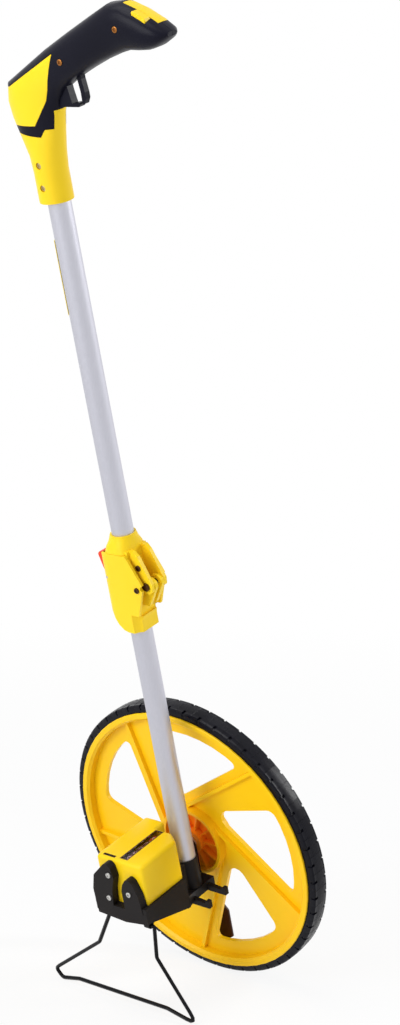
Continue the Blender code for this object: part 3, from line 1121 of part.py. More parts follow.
def make_release_button(parent):
    """The red button: a rocker on its own pin, with a return spring round the pin."""
    axis = empty("button_axis", (BUTTON_PIN_X, TUBE_Y, BUTTON_PIN_Z), parent)
    face = JOINT_LEFT - BUTTON_PIN_X
    root = BUTTON_PIN_RADIUS + BUTTON_BOSS
    height = BUTTON_HEIGHT
    outline = [(root * 0.8, -root), (face - GAP, -root),
               (face - BUTTON_PROUD * 0.45, height * 0.14),
               (face - BUTTON_PROUD, height * 0.84), (face - BUTTON_PROUD * 0.8, height * 0.95),
               (face - BUTTON_PROUD * 0.4, height), (face + CHEEK_THICK * 0.8, height),
               (face + CHEEK_THICK * 0.9, height * 0.3),
               (root, height * 0.14)]
    half = BUTTON_WIDTH / 2
    button = node("release_button", prism(filleted(outline, root / 2, 2), -half, half), "red",
                  axis)
    cut(button, tool("release_button_bore", rod(0.0, 0.0, BUTTON_PIN_RADIUS + GAP, -half - CUT,
                                                half + CUT, count=10), axis))
    reach = JOINT_HALF_WIDTH - CHEEK_THICK * 0.5
    node("button_pin", rod(BUTTON_PIN_X, BUTTON_PIN_Z, BUTTON_PIN_RADIUS, TUBE_Y - reach,
                           TUBE_Y + reach, count=10), "steel", parent)
    coil("button_spring", BUTTON_PIN_X, BUTTON_PIN_Z, TUBE_Y + half + SPRING_WIRE * 2,
         BUTTON_PIN_RADIUS, SPRING_TURNS, parent)


# Handle sections from the neck to the butt. Each row gives the two edges in side view, as shares
# of the handle's length from the neck's own edges and foot, the half thickness as a share of the
# neck's, and how square the section is.
SECTION_SHARES = (
    (0.0000, 0.035, 0.0000, 0.035, 1.0000, 1.00),
    (0.0000, 0.090, 0.0005, 0.090, 1.0000, 1.00),
    (-0.0010, 0.180, 0.0015, 0.180, 0.9875, 1.00),
    (-0.0080, 0.255, 0.0115, 0.255, 1.0000, 0.98),
    (-0.0410, 0.350, 0.0315, 0.350, 1.0125, 0.92),
    (-0.0660, 0.430, 0.0535, 0.440, 1.0000, 0.86),
    (-0.0750, 0.505, 0.0765, 0.505, 1.0000, 0.80),
    (-0.0560, 0.590, 0.1215, 0.560, 1.0125, 0.76),
    (0.0540, 0.650, 0.1915, 0.600, 1.0250, 0.74),
    (0.2090, 0.735, 0.2865, 0.642, 1.0375, 0.74),
    (0.3590, 0.808, 0.3865, 0.682, 1.0500, 0.74),
    (0.5090, 0.878, 0.4815, 0.712, 1.0625, 0.74),
    (0.6240, 0.930, 0.5515, 0.728, 1.0750, 0.74),
    (0.6990, 0.934, 0.6065, 0.726, 1.0875, 0.74),
    (0.7840, 0.900, 0.6615, 0.728, 1.0625, 0.76),
    (0.8640, 0.855, 0.7115, 0.742, 0.9750, 0.80),
    (0.9140, 0.822, 0.7535, 0.764, 0.7750, 0.90),
    (0.9390, 0.803, 0.7765, 0.782, 0.4125, 1.00),
)


def handle_sections(inset, first=0, last=None):
    """Closed sections of the handle, drawn in by a wall."""
    count = 24
    made = []
    rows = SECTION_SHARES[first:last]
    for back_x, back_z, front_x, front_z, half_share, power in rows:
        back = Vector((back_x, back_z)) * HANDLE_LENGTH - Vector((NECK_BACK, 0.0))
        front = Vector((front_x, front_z)) * HANDLE_LENGTH + Vector((NECK_FRONT, 0.0))
        middle = (back + front) / 2
        reach = (front - back) / 2
        reach = reach.normalized() * (reach.length - inset)
        half = half_share * HANDLE_HALF - inset
        section = []
        for c, s in circle(0.0, 0.0, 1.0, count):
            along = math.copysign(abs(c) ** power, c)
            across = math.copysign(abs(s) ** power, s)
            spot = middle + reach * along
            section.append((spot.x + TUBE_X - FOLD_X, TUBE_Y + half * across,
                            spot.y + HANDLE_BASE - FOLD_Z))
        made.append(section)
    return made


def handle_point(x_share, z_share):
    return (x_share * HANDLE_LENGTH + HANDLE_X - FOLD_X, z_share * HANDLE_LENGTH
            + HANDLE_BASE - FOLD_Z)


def grown(outline, distance):
    """Move each point of a closed outline outwards by a distance."""
    area = sum(a[0] * b[1] - b[0] * a[1] for a, b in zip(outline, outline[1:] + outline[:1]))
    way = 1.0 if area > 0 else -1.0
    made = []
    for i, here in enumerate(outline):
        before = (Vector(here) - Vector(outline[i - 1])).normalized()
        after = (Vector(outline[(i + 1) % len(outline)]) - Vector(here)).normalized()
        first = Vector((before.y, -before.x)) * way
        second = Vector((after.y, -after.x)) * way
        middle = (first + second).normalized()
        made.append(tuple(Vector(here) + middle * distance / max(middle.dot(first), 0.4)))
    return made


# Outlines of the handle's pieces in side view, as shares of the handle's length
NECK_SHARES = ((-0.50, -0.10), (0.50, -0.10), (0.50, 0.462), (0.105, 0.462), (0.084, 0.378),
               (0.050, 0.380), (0.025, 0.346), (-0.137, 0.366), (-0.50, 0.372))
PANEL_SHARES = ((-0.50, 0.400), (0.005, 0.400), (0.090, 0.512), (0.128, 0.588),
                (0.188, 0.725), (-0.120, 0.575), (-0.50, 0.500))
PLATE_SHARES = ((0.580, 1.00), (0.622, 0.875), (0.742, 0.820), (0.800, 0.850), (0.86, 1.00))
THUMB_SHARES = ((0.672, 0.852), (0.736, 0.820), (0.747, 0.856), (0.743, 0.868),
                (0.681, 0.902), (0.675, 0.896))
GUARD_SHARES = ((0.085, 0.474), (0.240, 0.474), (0.252, 0.486), (0.244, 0.494), (0.204, 0.489),
                (0.194, 0.540), (0.186, 0.600), (0.170, 0.580), (0.120, 0.520), (0.085, 0.489))
TRIGGER_SHARES = ((0.250, 0.654), (0.254, 0.670), (0.266, 0.677), (0.278, 0.670),
                  (0.281, 0.650), (0.279, 0.600), (0.287, 0.540), (0.287, 0.512),
                  (0.273, 0.486), (0.263, 0.486), (0.261, 0.505), (0.262, 0.540),
                  (0.256, 0.590))
TRIGGER_SLOT_SHARES = ((0.242, 0.560), (0.298, 0.560), (0.298, 0.680), (0.242, 0.680))
TRIGGER_PIN_SHARES = (0.266, 0.660)
GRIP_SCREW_SHARES = (("grip_screw_lower", 0.235, 0.690), ("grip_screw_upper", 0.590, 0.830))
NECK_SCREW_SHARES = (("neck_screw_lower", -0.022, 0.110), ("neck_screw_upper", -0.022, 0.215))


def region(name, shares, grow, low, high, mast):
    outline = [handle_point(*pair) for pair in shares]
    if grow:
        outline = grown(outline, grow)
    return tool(name, prism(outline, low, high), mast)


def make_handle(mast):
    """Neck, two grip shells, side panels and top plate, all trimmed from one hollow skin."""
    low, high = TUBE_Y - HANDLE_LENGTH / 4, TUBE_Y + HANDLE_LENGTH / 4
    reach = HANDLE_LENGTH
    half_gap = GAP / 2
    hollow = tool("handle_hollow", loft(handle_sections(HANDLE_SHELL, 4, -2)), mast)
    neck_tool = region("neck_region", NECK_SHARES, 0.0, low, high, mast)
    neck_clear = region("neck_region_clear", NECK_SHARES, GAP, low - CUT, high + CUT, mast)
    panel_tool = region("panel_region", PANEL_SHARES, 0.0, low, high, mast)
    panel_clear = region("panel_region_clear", PANEL_SHARES, PANEL_GAP, low - CUT, high + CUT,
                         mast)
    plate_low = TUBE_Y - PLATE_HALF
    plate_tool = region("plate_region", PLATE_SHARES, 0.0, plate_low, high, mast)
    plate_clear = region("plate_region_clear", PLATE_SHARES, PANEL_GAP, plate_low - PANEL_GAP,
                         high + CUT, mast)
    thumb_far = plate_low - PANEL_GAP - GAP
    thumb_near = thumb_far - THUMB_WIDTH
    pocket = region("thumb_pocket", THUMB_SHARES, PANEL_GAP, thumb_near - PANEL_GAP,
                    thumb_far + CUT, mast)
    guard_half = GUARD_WIDTH / 2
    guard_clear = region("guard_clear", GUARD_SHARES, GAP, TUBE_Y - guard_half - GAP,
                         TUBE_Y + guard_half + GAP, mast)
    slot_half = TRIGGER_WIDTH / 2 + RUN_GAP
    slot = region("trigger_slot", TRIGGER_SLOT_SHARES, 0.0, TUBE_Y - slot_half,
                  TUBE_Y + slot_half, mast)
    left_side = tool("left_side", block(-reach, reach * 2, low - CUT, TUBE_Y - half_gap,
                                        0.0, reach * 4), mast)
    right_side = tool("right_side", block(-reach, reach * 2, TUBE_Y + half_gap, high + CUT,
                                          0.0, reach * 4), mast)

    neck = node("handle_neck", loft(handle_sections(0.0)), "yellow", mast, 30.0)
    keep(neck, neck_tool)
    cut(neck, hollow)
    bore = rod(TUBE_X - FOLD_X, TUBE_Y, TUBE_RADIUS + GAP, HANDLE_BASE - FOLD_Z - CUT,
               UPPER_TUBE_END - FOLD_Z + CUT * 4, "Z", ROUND)
    cut(neck, tool("neck_bore", bore, mast))
    shells = []
    for name, side in (("grip_shell_left", left_side), ("grip_shell_right", right_side)):
        shell = node(name, loft(handle_sections(0.0)), "black", mast, 30.0)
        cut(shell, neck_clear)
        cut(shell, hollow)
        cut(shell, panel_clear)
        cut(shell, plate_clear)
        cut(shell, guard_clear)
        cut(shell, slot)
        keep(shell, side)
        shells.append(shell)
    cut(shells[0], pocket)
    for name, side in (("side_panel_left", left_side), ("side_panel_right", right_side)):
        panel = node(name, loft(handle_sections(0.0)), "yellow", mast, 30.0)
        keep(panel, panel_tool)
        cut(panel, neck_clear)
        cut(panel, hollow)
        keep(panel, side)
    plate = node("top_plate", loft(handle_sections(0.0)), "yellow", mast, 30.0)
    keep(plate, plate_tool)
    cut(plate, hollow)

    guard = [handle_point(*pair) for pair in GUARD_SHARES]
    node("trigger_guard", prism(guard, TUBE_Y - guard_half, TUBE_Y + guard_half), "black", mast)
    make_trigger(mast, shells)
    make_thumb_button(mast, thumb_near, thumb_far)
    make_handle_screws(mast, shells, neck)


def make_trigger(mast, shells):
    """The brake trigger on its pin, which two bosses in the shells hold, with its spring."""
    pin_x, pin_z = handle_point(*TRIGGER_PIN_SHARES)
    half = TRIGGER_WIDTH / 2
    spring_start = half + SPRING_WIRE * 2
    spring_end = spring_start + (SPRING_TURNS + 1) * SPRING_PITCH
    pin_reach = HANDLE_HALF * 0.70
    boss_reach = HANDLE_HALF * 0.80
    for shell, side, start in zip(shells, (-1, 1), (half + 2 * RUN_GAP, spring_end)):
        planes = sorted((TUBE_Y + side * start, TUBE_Y + side * boss_reach))
        boss = rod(pin_x, pin_z, TRIGGER_PIN_RADIUS * 2, *planes, count=12)
        join(shell, tool("trigger_boss_%d" % (side + 1), boss, mast))
        planes = sorted((TUBE_Y, TUBE_Y + side * (pin_reach + GAP)))
        hole = rod(pin_x, pin_z, TRIGGER_PIN_RADIUS + GAP, *planes, count=12)
        cut(shell, tool("trigger_pin_hole_%d" % (side + 1), hole, mast))
    axis = empty("trigger_axis", (pin_x, TUBE_Y, pin_z), mast)
    outline = []
    for pair in TRIGGER_SHARES:
        x, z = handle_point(*pair)
        outline.append((x - pin_x, z - pin_z))
    trigger = node("trigger", prism(filleted(outline, TRIGGER_PIN_RADIUS, 2), -half, half),
                   "black", axis)
    cut(trigger, tool("trigger_bore", rod(0.0, 0.0, TRIGGER_PIN_RADIUS + GAP, -half - CUT,
                                          half + CUT, count=12), axis))
    node("trigger_pin", rod(pin_x, pin_z, TRIGGER_PIN_RADIUS, TUBE_Y - pin_reach,
                            TUBE_Y + pin_reach, count=12), "steel", mast)
    coil("trigger_spring", pin_x, pin_z, TUBE_Y + spring_start, TRIGGER_PIN_RADIUS,
         SPRING_TURNS, mast)


def make_thumb_button(mast, near, far):
    """A thumb button that sinks into its pocket beside the top plate."""
    x, z = handle_point(*THUMB_SHARES[0])
    axis = empty("thumb_axis", (x, near, z), mast)
    outline = []
    for pair in THUMB_SHARES:
        u, v = handle_point(*pair)
        outline.append((u - x, v - z))
    button = node("thumb_button", prism(outline, 0.0, far - near), "yellow", axis)
    bevel(button, GAP * 2, 1, 60.0)


def make_handle_screws(mast, shells, neck):
    """Two screws join the grip shells through bosses; two hold the neck on the tube."""
    boss_reach = HANDLE_HALF * 0.975
    face = TUBE_Y - HANDLE_HALF * 1.044
    seat = face + SCREW_HEAD_THICK * 0.6
    for name, u, v in GRIP_SCREW_SHARES:
        x, z = handle_point(u, v)
        for shell, side in zip(shells, (-1, 1)):
            planes = sorted((TUBE_Y + side * GAP / 2, TUBE_Y + side * boss_reach))
            join(shell, tool(name + "_boss", rod(x, z, SCREW_HEAD_RADIUS, *planes, count=12),
                             mast))
        holes = rod(x, z, SCREW_SHANK_RADIUS + GAP, face - CUT, TUBE_Y + boss_reach * 0.7,
                    count=12)
        holes_tool = tool(name + "_hole", holes, mast)
        sink = rod(x, z, SCREW_HEAD_RADIUS + GAP, face - CUT, seat, count=12)
        cut(shells[0], holes_tool)
        cut(shells[1], holes_tool)
        cut(shells[0], tool(name + "_sink", sink, mast))
        screw(name, x, z, seat, TUBE_Y + boss_reach * 0.6, "brass", mast)
    neck_face = TUBE_Y - HANDLE_HALF * 0.825
    for name, u, v in NECK_SCREW_SHARES:
        x, z = handle_point(u, v)
        sink = rod(x, z, SCREW_HEAD_RADIUS + GAP, neck_face - CUT, neck_face, count=12)
        cut(neck, tool(name + "_sink", sink, mast))
        hole = rod(x, z, SCREW_SHANK_RADIUS + GAP, neck_face - CUT, TUBE_Y, count=12)
        cut(neck, tool(name + "_hole", hole, mast))
        screw(name, x, z, neck_face, TUBE_Y - TUBE_RADIUS - GAP, "steel", mast)


def lean_and_stand(device):
    """Lean the device on its stand and put the origin under the middle of its box."""
    device.rotation_euler = (LEAN, 0.0, 0.0)
    bpy.context.view_layer.update()
    graph = bpy.context.evaluated_depsgraph_get()
    low = [math.inf] * 3
    high = [-math.inf] * 3
    for item in bpy.context.scene.objects:
        if item.type == "EMPTY" or item.hide_render:
            continue
        seen = item.evaluated_get(graph)
        mesh = seen.to_mesh()
        for vertex in mesh.vertices:
            place = seen.matrix_world @ vertex.co
            for k in range(3):
                low[k] = min(low[k], place[k])
                high[k] = max(high[k], place[k])
        seen.to_mesh_clear()
    device.location = (-(low[0] + high[0]) / 2, -(low[1] + high[1]) / 2, -low[2])
    bpy.context.view_layer.update()


def main():
    clear_scene()
    device = empty("device", (0.0, 0.0, 0.0))
    wheel_axis = empty("wheel_axis", (0.0, 0.0, 0.0), device)
    mast = empty("fold_axis", (FOLD_X, 0.0, FOLD_Z), device)
    make_tyre(wheel_axis)
    make_wheel_disc(wheel_axis)
    pointer_near = make_axle(wheel_axis)
    pointer_axis = empty("pointer_axis", (0.0, 0.0, 0.0), device)
    make_pointer(pointer_axis, pointer_near)
    bracket, shoe_z = make_bracket(device)
    make_case_screws(device, bracket)
    make_counter(device, wheel_axis)
    ground_z = SHOULDER_DROP * math.sin(LEAN) - WHEEL_RADIUS * math.cos(LEAN)
    make_stand(device, ground_z)
    make_brake(device, shoe_z)
    make_tubes(device, mast)
    make_joint(device, mast)
    make_release_button(device)
    make_handle(mast)
    lean_and_stand(device)


main()
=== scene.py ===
"""Looks of the measuring wheel: materials, small details, light and camera round its solids."""
import math

import bmesh
import bpy
from mathutils import Matrix, Vector

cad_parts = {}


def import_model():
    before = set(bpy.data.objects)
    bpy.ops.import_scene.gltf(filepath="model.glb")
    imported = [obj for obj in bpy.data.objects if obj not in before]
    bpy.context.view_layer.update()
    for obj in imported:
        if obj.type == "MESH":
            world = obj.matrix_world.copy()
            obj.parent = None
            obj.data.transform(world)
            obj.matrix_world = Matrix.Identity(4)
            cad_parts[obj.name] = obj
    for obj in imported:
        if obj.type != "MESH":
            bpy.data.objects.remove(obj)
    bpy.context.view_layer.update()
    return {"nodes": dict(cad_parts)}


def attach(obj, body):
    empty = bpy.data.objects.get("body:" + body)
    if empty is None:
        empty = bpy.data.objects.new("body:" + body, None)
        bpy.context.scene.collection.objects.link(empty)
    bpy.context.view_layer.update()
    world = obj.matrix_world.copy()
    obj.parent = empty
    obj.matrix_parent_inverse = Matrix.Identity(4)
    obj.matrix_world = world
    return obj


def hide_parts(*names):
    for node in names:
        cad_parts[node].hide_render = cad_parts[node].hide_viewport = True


MM = 0.001

# The upright frame in which the device's own sizes are written, and how it stands
LEAN = math.radians(14.5)
DEVICE = Vector((-13.428, 103.087, 153.105)) * MM
UPRIGHT = Matrix.Translation(DEVICE) @ Matrix.Rotation(LEAN, 4, "X")

# Camera
CAMERA_FROM_DEVICE = Vector((1412.5, -1678.1, 799.4)) * MM
CAMERA_AZIMUTH = math.radians(39.88)
CAMERA_ELEVATION = math.radians(11.54)
CAMERA_LENS = 77.27
CAMERA_SENSOR = 36.0

# Lamps: name, place, width and height, power. All face the middle of the device
LIGHT_TARGET = (0.0, 0.0, 0.45)
LIGHTS = (("key_light", (-0.5, -2.6, 1.5), (1.8, 1.8), 53.0),
          ("top_light", (-0.4, -0.8, 3.0), (1.6, 1.6), 30.0),
          ("rim_light", (1.9, 2.0, 1.75), (0.5, 1.2), 42.0))
FILL_COLOR = (0.96, 0.98, 1.0)
FILL_STRENGTH = 0.38

# Floor: the object's shadow shows inside the first radius and is gone at the second
SHADOW_NEAR = 0.7
SHADOW_FAR = 1.6
FLOOR_RADIUS = 9.0
FLOOR_SIDES = 64
FLOOR_GLOW_SHARE = 0.87
FLOOR_GREY = 0.86
FLOOR_ROUGHNESS = 0.9

# Sizes shared with the solids
WHEEL_RADIUS = 159.15 * MM
TYRE_WIDTH = 21.0 * MM
TYRE_DEPTH = 8.85 * MM
TYRE_BEAD = 3.6 * MM
TREAD_BLOCKS = 50
GAP = 0.3 * MM

# Tread. It is set in a little, so that its blocks stay inside the plain tyre's box
TREAD_INSET = 0.2 * MM
SHOULDER_ROUND = 3.2 * MM
SHOULDER_STEPS = 3
TREAD_CROWN = 0.5 * MM
GROOVE_DEPTH = 0.35 * MM
NOTCH_DEPTH = 1.7 * MM
LINE_DEPTH = 0.18 * MM
TREAD_RADIUS = WHEEL_RADIUS - TREAD_INSET
TREAD_START = -math.pi / 2
BEAD_RADIUS = WHEEL_RADIUS - TYRE_DEPTH - TYRE_BEAD + GAP / 2
SIDE_RADIUS = TREAD_RADIUS - SHOULDER_ROUND

# Across one half of the tread: place, depth of the fine line there, depth of the edge's notch
CROWN_SHARES = ((0.0, 0.0, 1.0), (0.11, 0.0, 1.0), (0.13, 0.0, 0.0), (0.21, 0.0, 0.0),
                (0.22, 1.0, 0.0), (0.24, 1.0, 0.0), (0.25, 0.0, 0.0), (0.34, 0.0, 0.0),
                (0.35, 1.0, 0.0), (0.37, 1.0, 0.0), (0.38, 0.0, 0.0), (0.485, 0.0, 0.0),
                (0.495, 1.0, 0.0))

# Along one block of the tread: place, depth of the cross groove, depth of the edge's notch
BLOCK_SHARES = ((0.0, 0.0, 0.0), (0.42, 0.0, 0.0), (0.43, 0.0, 1.0), (0.56, 0.0, 1.0),
                (0.57, 0.0, 0.0), (0.95, 0.0, 0.0), (0.96, 1.0, 1.0), (0.985, 1.0, 1.0))

# Digits of the number drums. The font share is the font's size over the height of its digits
DIGIT_COUNT = 10
DIGIT_HEIGHT = 5.2 * MM
DIGIT_FONT_SHARE = 1.4
DIGIT_PROUD = 0.06 * MM
DIGIT_STRETCH_SHARE = 1.5
DIGIT_CURVE_STEPS = 2
DIGIT_READ_ANGLE = math.radians(90.0)

# The digit that each drum shows at rest, from the fastest drum to the slowest
DRUM_STARTS = (4, 7, 2, 0, 0)

# Sizes of the screws: the head with its rounded edge, and the cross recess
SCREW_SIDES = 24
SCREW_HEAD_THICK = 1.6 * MM
SCREW_SHANK_RADIUS = 1.4 * MM
RECESS_REACH = 1.75 * MM
RECESS_WIDTH = 0.8 * MM
RECESS_DEPTH = 0.8 * MM
HEAD_ROUND = 0.7 * MM
HEAD_STEP_SHARE = 0.3

# Each screw: node, look, body, material slot, and how far its recess is turned in degrees
SCREWS = (("case_screw_upper", "steel", "frame", "steel", 20.0),
          ("case_screw_lower", "steel", "frame", "steel", 65.0),
          ("case_screw_right", "steel", "frame", "steel", 5.0),
          ("cheek_screw", "dark", "frame", "steel", 30.0),
          ("ear_screw", "dark", "mast", "steel", 75.0),
          ("neck_screw_lower", "pale", "mast", "steel", 15.0),
          ("neck_screw_upper", "pale", "mast", "steel", 50.0),
          ("grip_screw_lower", "brass", "mast", "brass", 35.0),
          ("grip_screw_upper", "brass", "mast", "brass", 80.0))

# The window's dark frame
BEZEL_WIDTH = 0.9 * MM
BEZEL_PROUD = 0.35 * MM
BEZEL_OVERLAP = GAP * 0.8
BEZEL_LIFT = GAP / 10

# Painted shade: a dark sheet over the walls and top edge of the reset slot, where shade falls
SLOT_OVERHANG = 3.0 * MM
SLOT_HALF_WIDTH = 1.2 * MM
SLOT_LIP = 0.45 * MM
SLOT_SHADE_DEPTH = 1.7 * MM
SHADE_INSET = GAP / 2
SHADE_CLEAR = GAP / 10
LIP_TOP = GAP / 3
LIP_UNDER = GAP / 10

# How strongly plastic and rubber mirror their surroundings
PLASTIC_SHEEN_SHARE = 0.22
DARK_SHEEN_SHARE = 0.09
TYRE_SHEEN_SHARE = 0.13
WINDOW_IOR = 1.2
TUBE_METAL_SHARE = 0.8

# How much the roughness of each kind of surface goes down and up from place to place
PLASTIC_GLOSS_SPREAD = (0.06, 0.08)
METAL_GLOSS_SPREAD = (0.05, 0.1)
RUBBER_GLOSS_SPREAD = (0.08, 0.1)

# Noise: how fine and how detailed it is. Grain: its height, and the share of it that shows
FLOW_NOISE = (14.0, 3.0)
PATCH_NOISE = (45.0, 4.0)
PLASTIC_NOISE = (1500.0, 2.0)
DUST_NOISE = (60.0, 5.0)
RUBBER_NOISE = (900.0, 3.0)
METAL_NOISE = (420.0, 5.0)
TUBE_NOISE = (900.0, 5.0)
PLASTIC_GRAIN = 0.08 * MM
RUBBER_GRAIN = 0.10 * MM
METAL_GRAIN = 0.03 * MM
PLASTIC_GRAIN_SHARE = 0.12
WIRE_GRAIN_SHARE = 0.05
LABEL_GRAIN_SHARE = 0.02
RUBBER_GRAIN_SHARE = 0.2
METAL_GRAIN_SHARE = 0.15
TUBE_GRAIN_SHARE = 0.08
EVEN_STRETCH = (1.0, 1.0, 1.0)
TUBE_STRETCH = (1.0, 1.0, 0.02)

# Painted shade: the wheel's yellow is painted orange towards the hub, between these distances
# from its axis, in place of the shade and bounced yellow light there
HUB_INNER = 24.0 * MM
HUB_OUTER = 42.0 * MM
HUB_SHADE_ORANGE = (0.95, 0.25, 0.008)

# Sockets of the node that mixes two colours: its factor, the colours at 0 and 1, the result
MIX_FACTOR = 0
MIX_FIRST = 6
MIX_SECOND = 7
MIX_RESULT = 2

# The rays that see the white background
SEEN_RAYS = ("Is Camera Ray", "Is Glossy Ray", "Is Transmission Ray")

# Smoothing: edges sharper than these angles in degrees stay crisp
SOLID_ANGLE = 30.0
PIECE_ANGLE = 35.0
TREAD_ANGLE = 30.0
SCREW_ANGLE = 40.0
WELD_REACH = 0.01 * MM
SMOOTH_ANGLES = {"tyre": 20.0, "grip_shell_left": 40.0, "grip_shell_right": 40.0,
                 "handle_neck": 40.0, "side_panel_left": 40.0, "side_panel_right": 40.0,
                 "stand_wire": 60.0}

# Each look, and the nodes that wear it
NODE_LOOKS = {
    "wheel": ("wheel_disc",),
    "yellow": ("counter_cover", "counter_base"),
    "lemon": ("joint_lower", "joint_upper", "handle_neck", "side_panel_left",
              "side_panel_right", "top_plate", "thumb_button"),
    "black": ("grip_shell_left", "grip_shell_right", "trigger_guard", "trigger"),
    "bracket": ("base_bracket", "reset_slider"),
    "red": ("release_button",),
    "ivory": ("drive_gear", "idler_gear", "counter_gear"),
    "drum": ("number_drum_2", "number_drum_3", "number_drum_4", "number_drum_5"),
    "drum_red": ("number_drum_1",),
    "brown": ("pointer",),
    "tyre": ("tyre",),
    "shoe": ("brake_shoe",),
    "tube": ("lower_tube", "upper_tube"),
    "steel": ("axle", "axle_spacer", "axle_washer", "axle_nut", "counter_frame", "idler_pin",
              "drum_shaft", "button_pin", "button_spring", "trigger_pin", "trigger_spring",
              "case_screw_upper", "case_screw_lower", "case_screw_right"),
    "dark": ("fold_pin", "cheek_screw", "ear_screw"),
    "brass": ("axle_bush_counter", "axle_bush_plate", "grip_screw_lower", "grip_screw_upper"),
    "pale": ("neck_screw_lower", "neck_screw_upper"),
    "wire": ("stand_wire",),
    "window": ("counter_window",),
    "label": ("tube_label",),
}


def new_material(name, color, roughness, metallic=0.0):
    """A material with its node tree and its shader."""
    made = bpy.data.materials.new(name)
    made.use_nodes = True
    shader = made.node_tree.nodes["Principled BSDF"]
    shader.inputs["Base Color"].default_value = (*color, 1.0)
    shader.inputs["Roughness"].default_value = roughness
    shader.inputs["Metallic"].default_value = metallic
    return made, made.node_tree, shader


def noise(tree, scale, detail, stretch=EVEN_STRETCH):
    """Noise that is fixed to the piece; a small stretch draws it out along an axis."""
    place = tree.nodes.new("ShaderNodeTexCoord")
    mapping = tree.nodes.new("ShaderNodeMapping")
    mapping.inputs["Scale"].default_value = stretch
    texture = tree.nodes.new("ShaderNodeTexNoise")
    texture.inputs["Scale"].default_value = scale
    texture.inputs["Detail"].default_value = detail
    tree.links.new(place.outputs["Object"], mapping.inputs["Vector"])
    tree.links.new(mapping.outputs["Vector"], texture.inputs["Vector"])
    return texture.outputs["Fac"]


def vary_gloss(tree, shader, source, roughness, spread):
    """Let the roughness go down and up with a 0 to 1 value."""
    down, up = spread
    made = tree.nodes.new("ShaderNodeMapRange")
    made.inputs["To Min"].default_value = roughness - down
    made.inputs["To Max"].default_value = roughness + up
    tree.links.new(source, made.inputs["Value"])
    tree.links.new(made.outputs["Result"], shader.inputs["Roughness"])


def grain(tree, shader, source, strength, distance):
    """Raise the surface with a 0 to 1 value."""
    bump = tree.nodes.new("ShaderNodeBump")
    bump.inputs["Strength"].default_value = strength
    bump.inputs["Distance"].default_value = distance
    tree.links.new(source, bump.inputs["Height"])
    tree.links.new(bump.outputs["Normal"], shader.inputs["Normal"])


def tint(tree, shader, source, dark, light):
    """Vary the base colour between two near colours."""
    mix = tree.nodes.new("ShaderNodeMix")
    mix.data_type = "RGBA"
    mix.inputs[MIX_FIRST].default_value = (*dark, 1.0)
    mix.inputs[MIX_SECOND].default_value = (*light, 1.0)
    tree.links.new(source, mix.inputs[MIX_FACTOR])
    tree.links.new(mix.outputs[MIX_RESULT], shader.inputs["Base Color"])


def moulded(name, dark, light, roughness, grain_share=PLASTIC_GRAIN_SHARE,
            sheen_share=PLASTIC_SHEEN_SHARE):
    """Injection-moulded plastic: faint flow marks, a fine grain and a varying gloss."""
    made, tree, shader = new_material(name, light, roughness)
    tint(tree, shader, noise(tree, *FLOW_NOISE), dark, light)
    grain(tree, shader, noise(tree, *PLASTIC_NOISE), grain_share, PLASTIC_GRAIN)
    vary_gloss(tree, shader, noise(tree, *PATCH_NOISE), roughness, PLASTIC_GLOSS_SPREAD)
    shader.inputs["Specular IOR Level"].default_value = sheen_share
    return made


def metal(name, dark, light, roughness, stretch=EVEN_STRETCH, fineness=METAL_NOISE,
          grain_share=METAL_GRAIN_SHARE, metallic=1.0):
    """Metal with fine marks, which a stretch draws out into lines."""
    made, tree, shader = new_material(name, light, roughness, metallic)
    lines = noise(tree, *fineness, stretch)
    tint(tree, shader, lines, dark, light)
    grain(tree, shader, lines, grain_share, METAL_GRAIN)
    vary_gloss(tree, shader, lines, roughness, METAL_GLOSS_SPREAD)
    return made


def rubber(name, dark, light, roughness):
    """Rubber with a little dust and a coarse grain."""
    made, tree, shader = new_material(name, light, roughness)
    dust = noise(tree, *DUST_NOISE)
    tint(tree, shader, dust, dark, light)
    grain(tree, shader, noise(tree, *RUBBER_NOISE), RUBBER_GRAIN_SHARE, RUBBER_GRAIN)
    vary_gloss(tree, shader, dust, roughness, RUBBER_GLOSS_SPREAD)
    shader.inputs["Specular IOR Level"].default_value = TYRE_SHEEN_SHARE
    return made


def clear_plastic(name, color, roughness):
    """Tinted see-through plastic."""
    made, _, shader = new_material(name, color, roughness)
    shader.inputs["Transmission Weight"].default_value = 1.0
    shader.inputs["IOR"].default_value = WINDOW_IOR
    return made


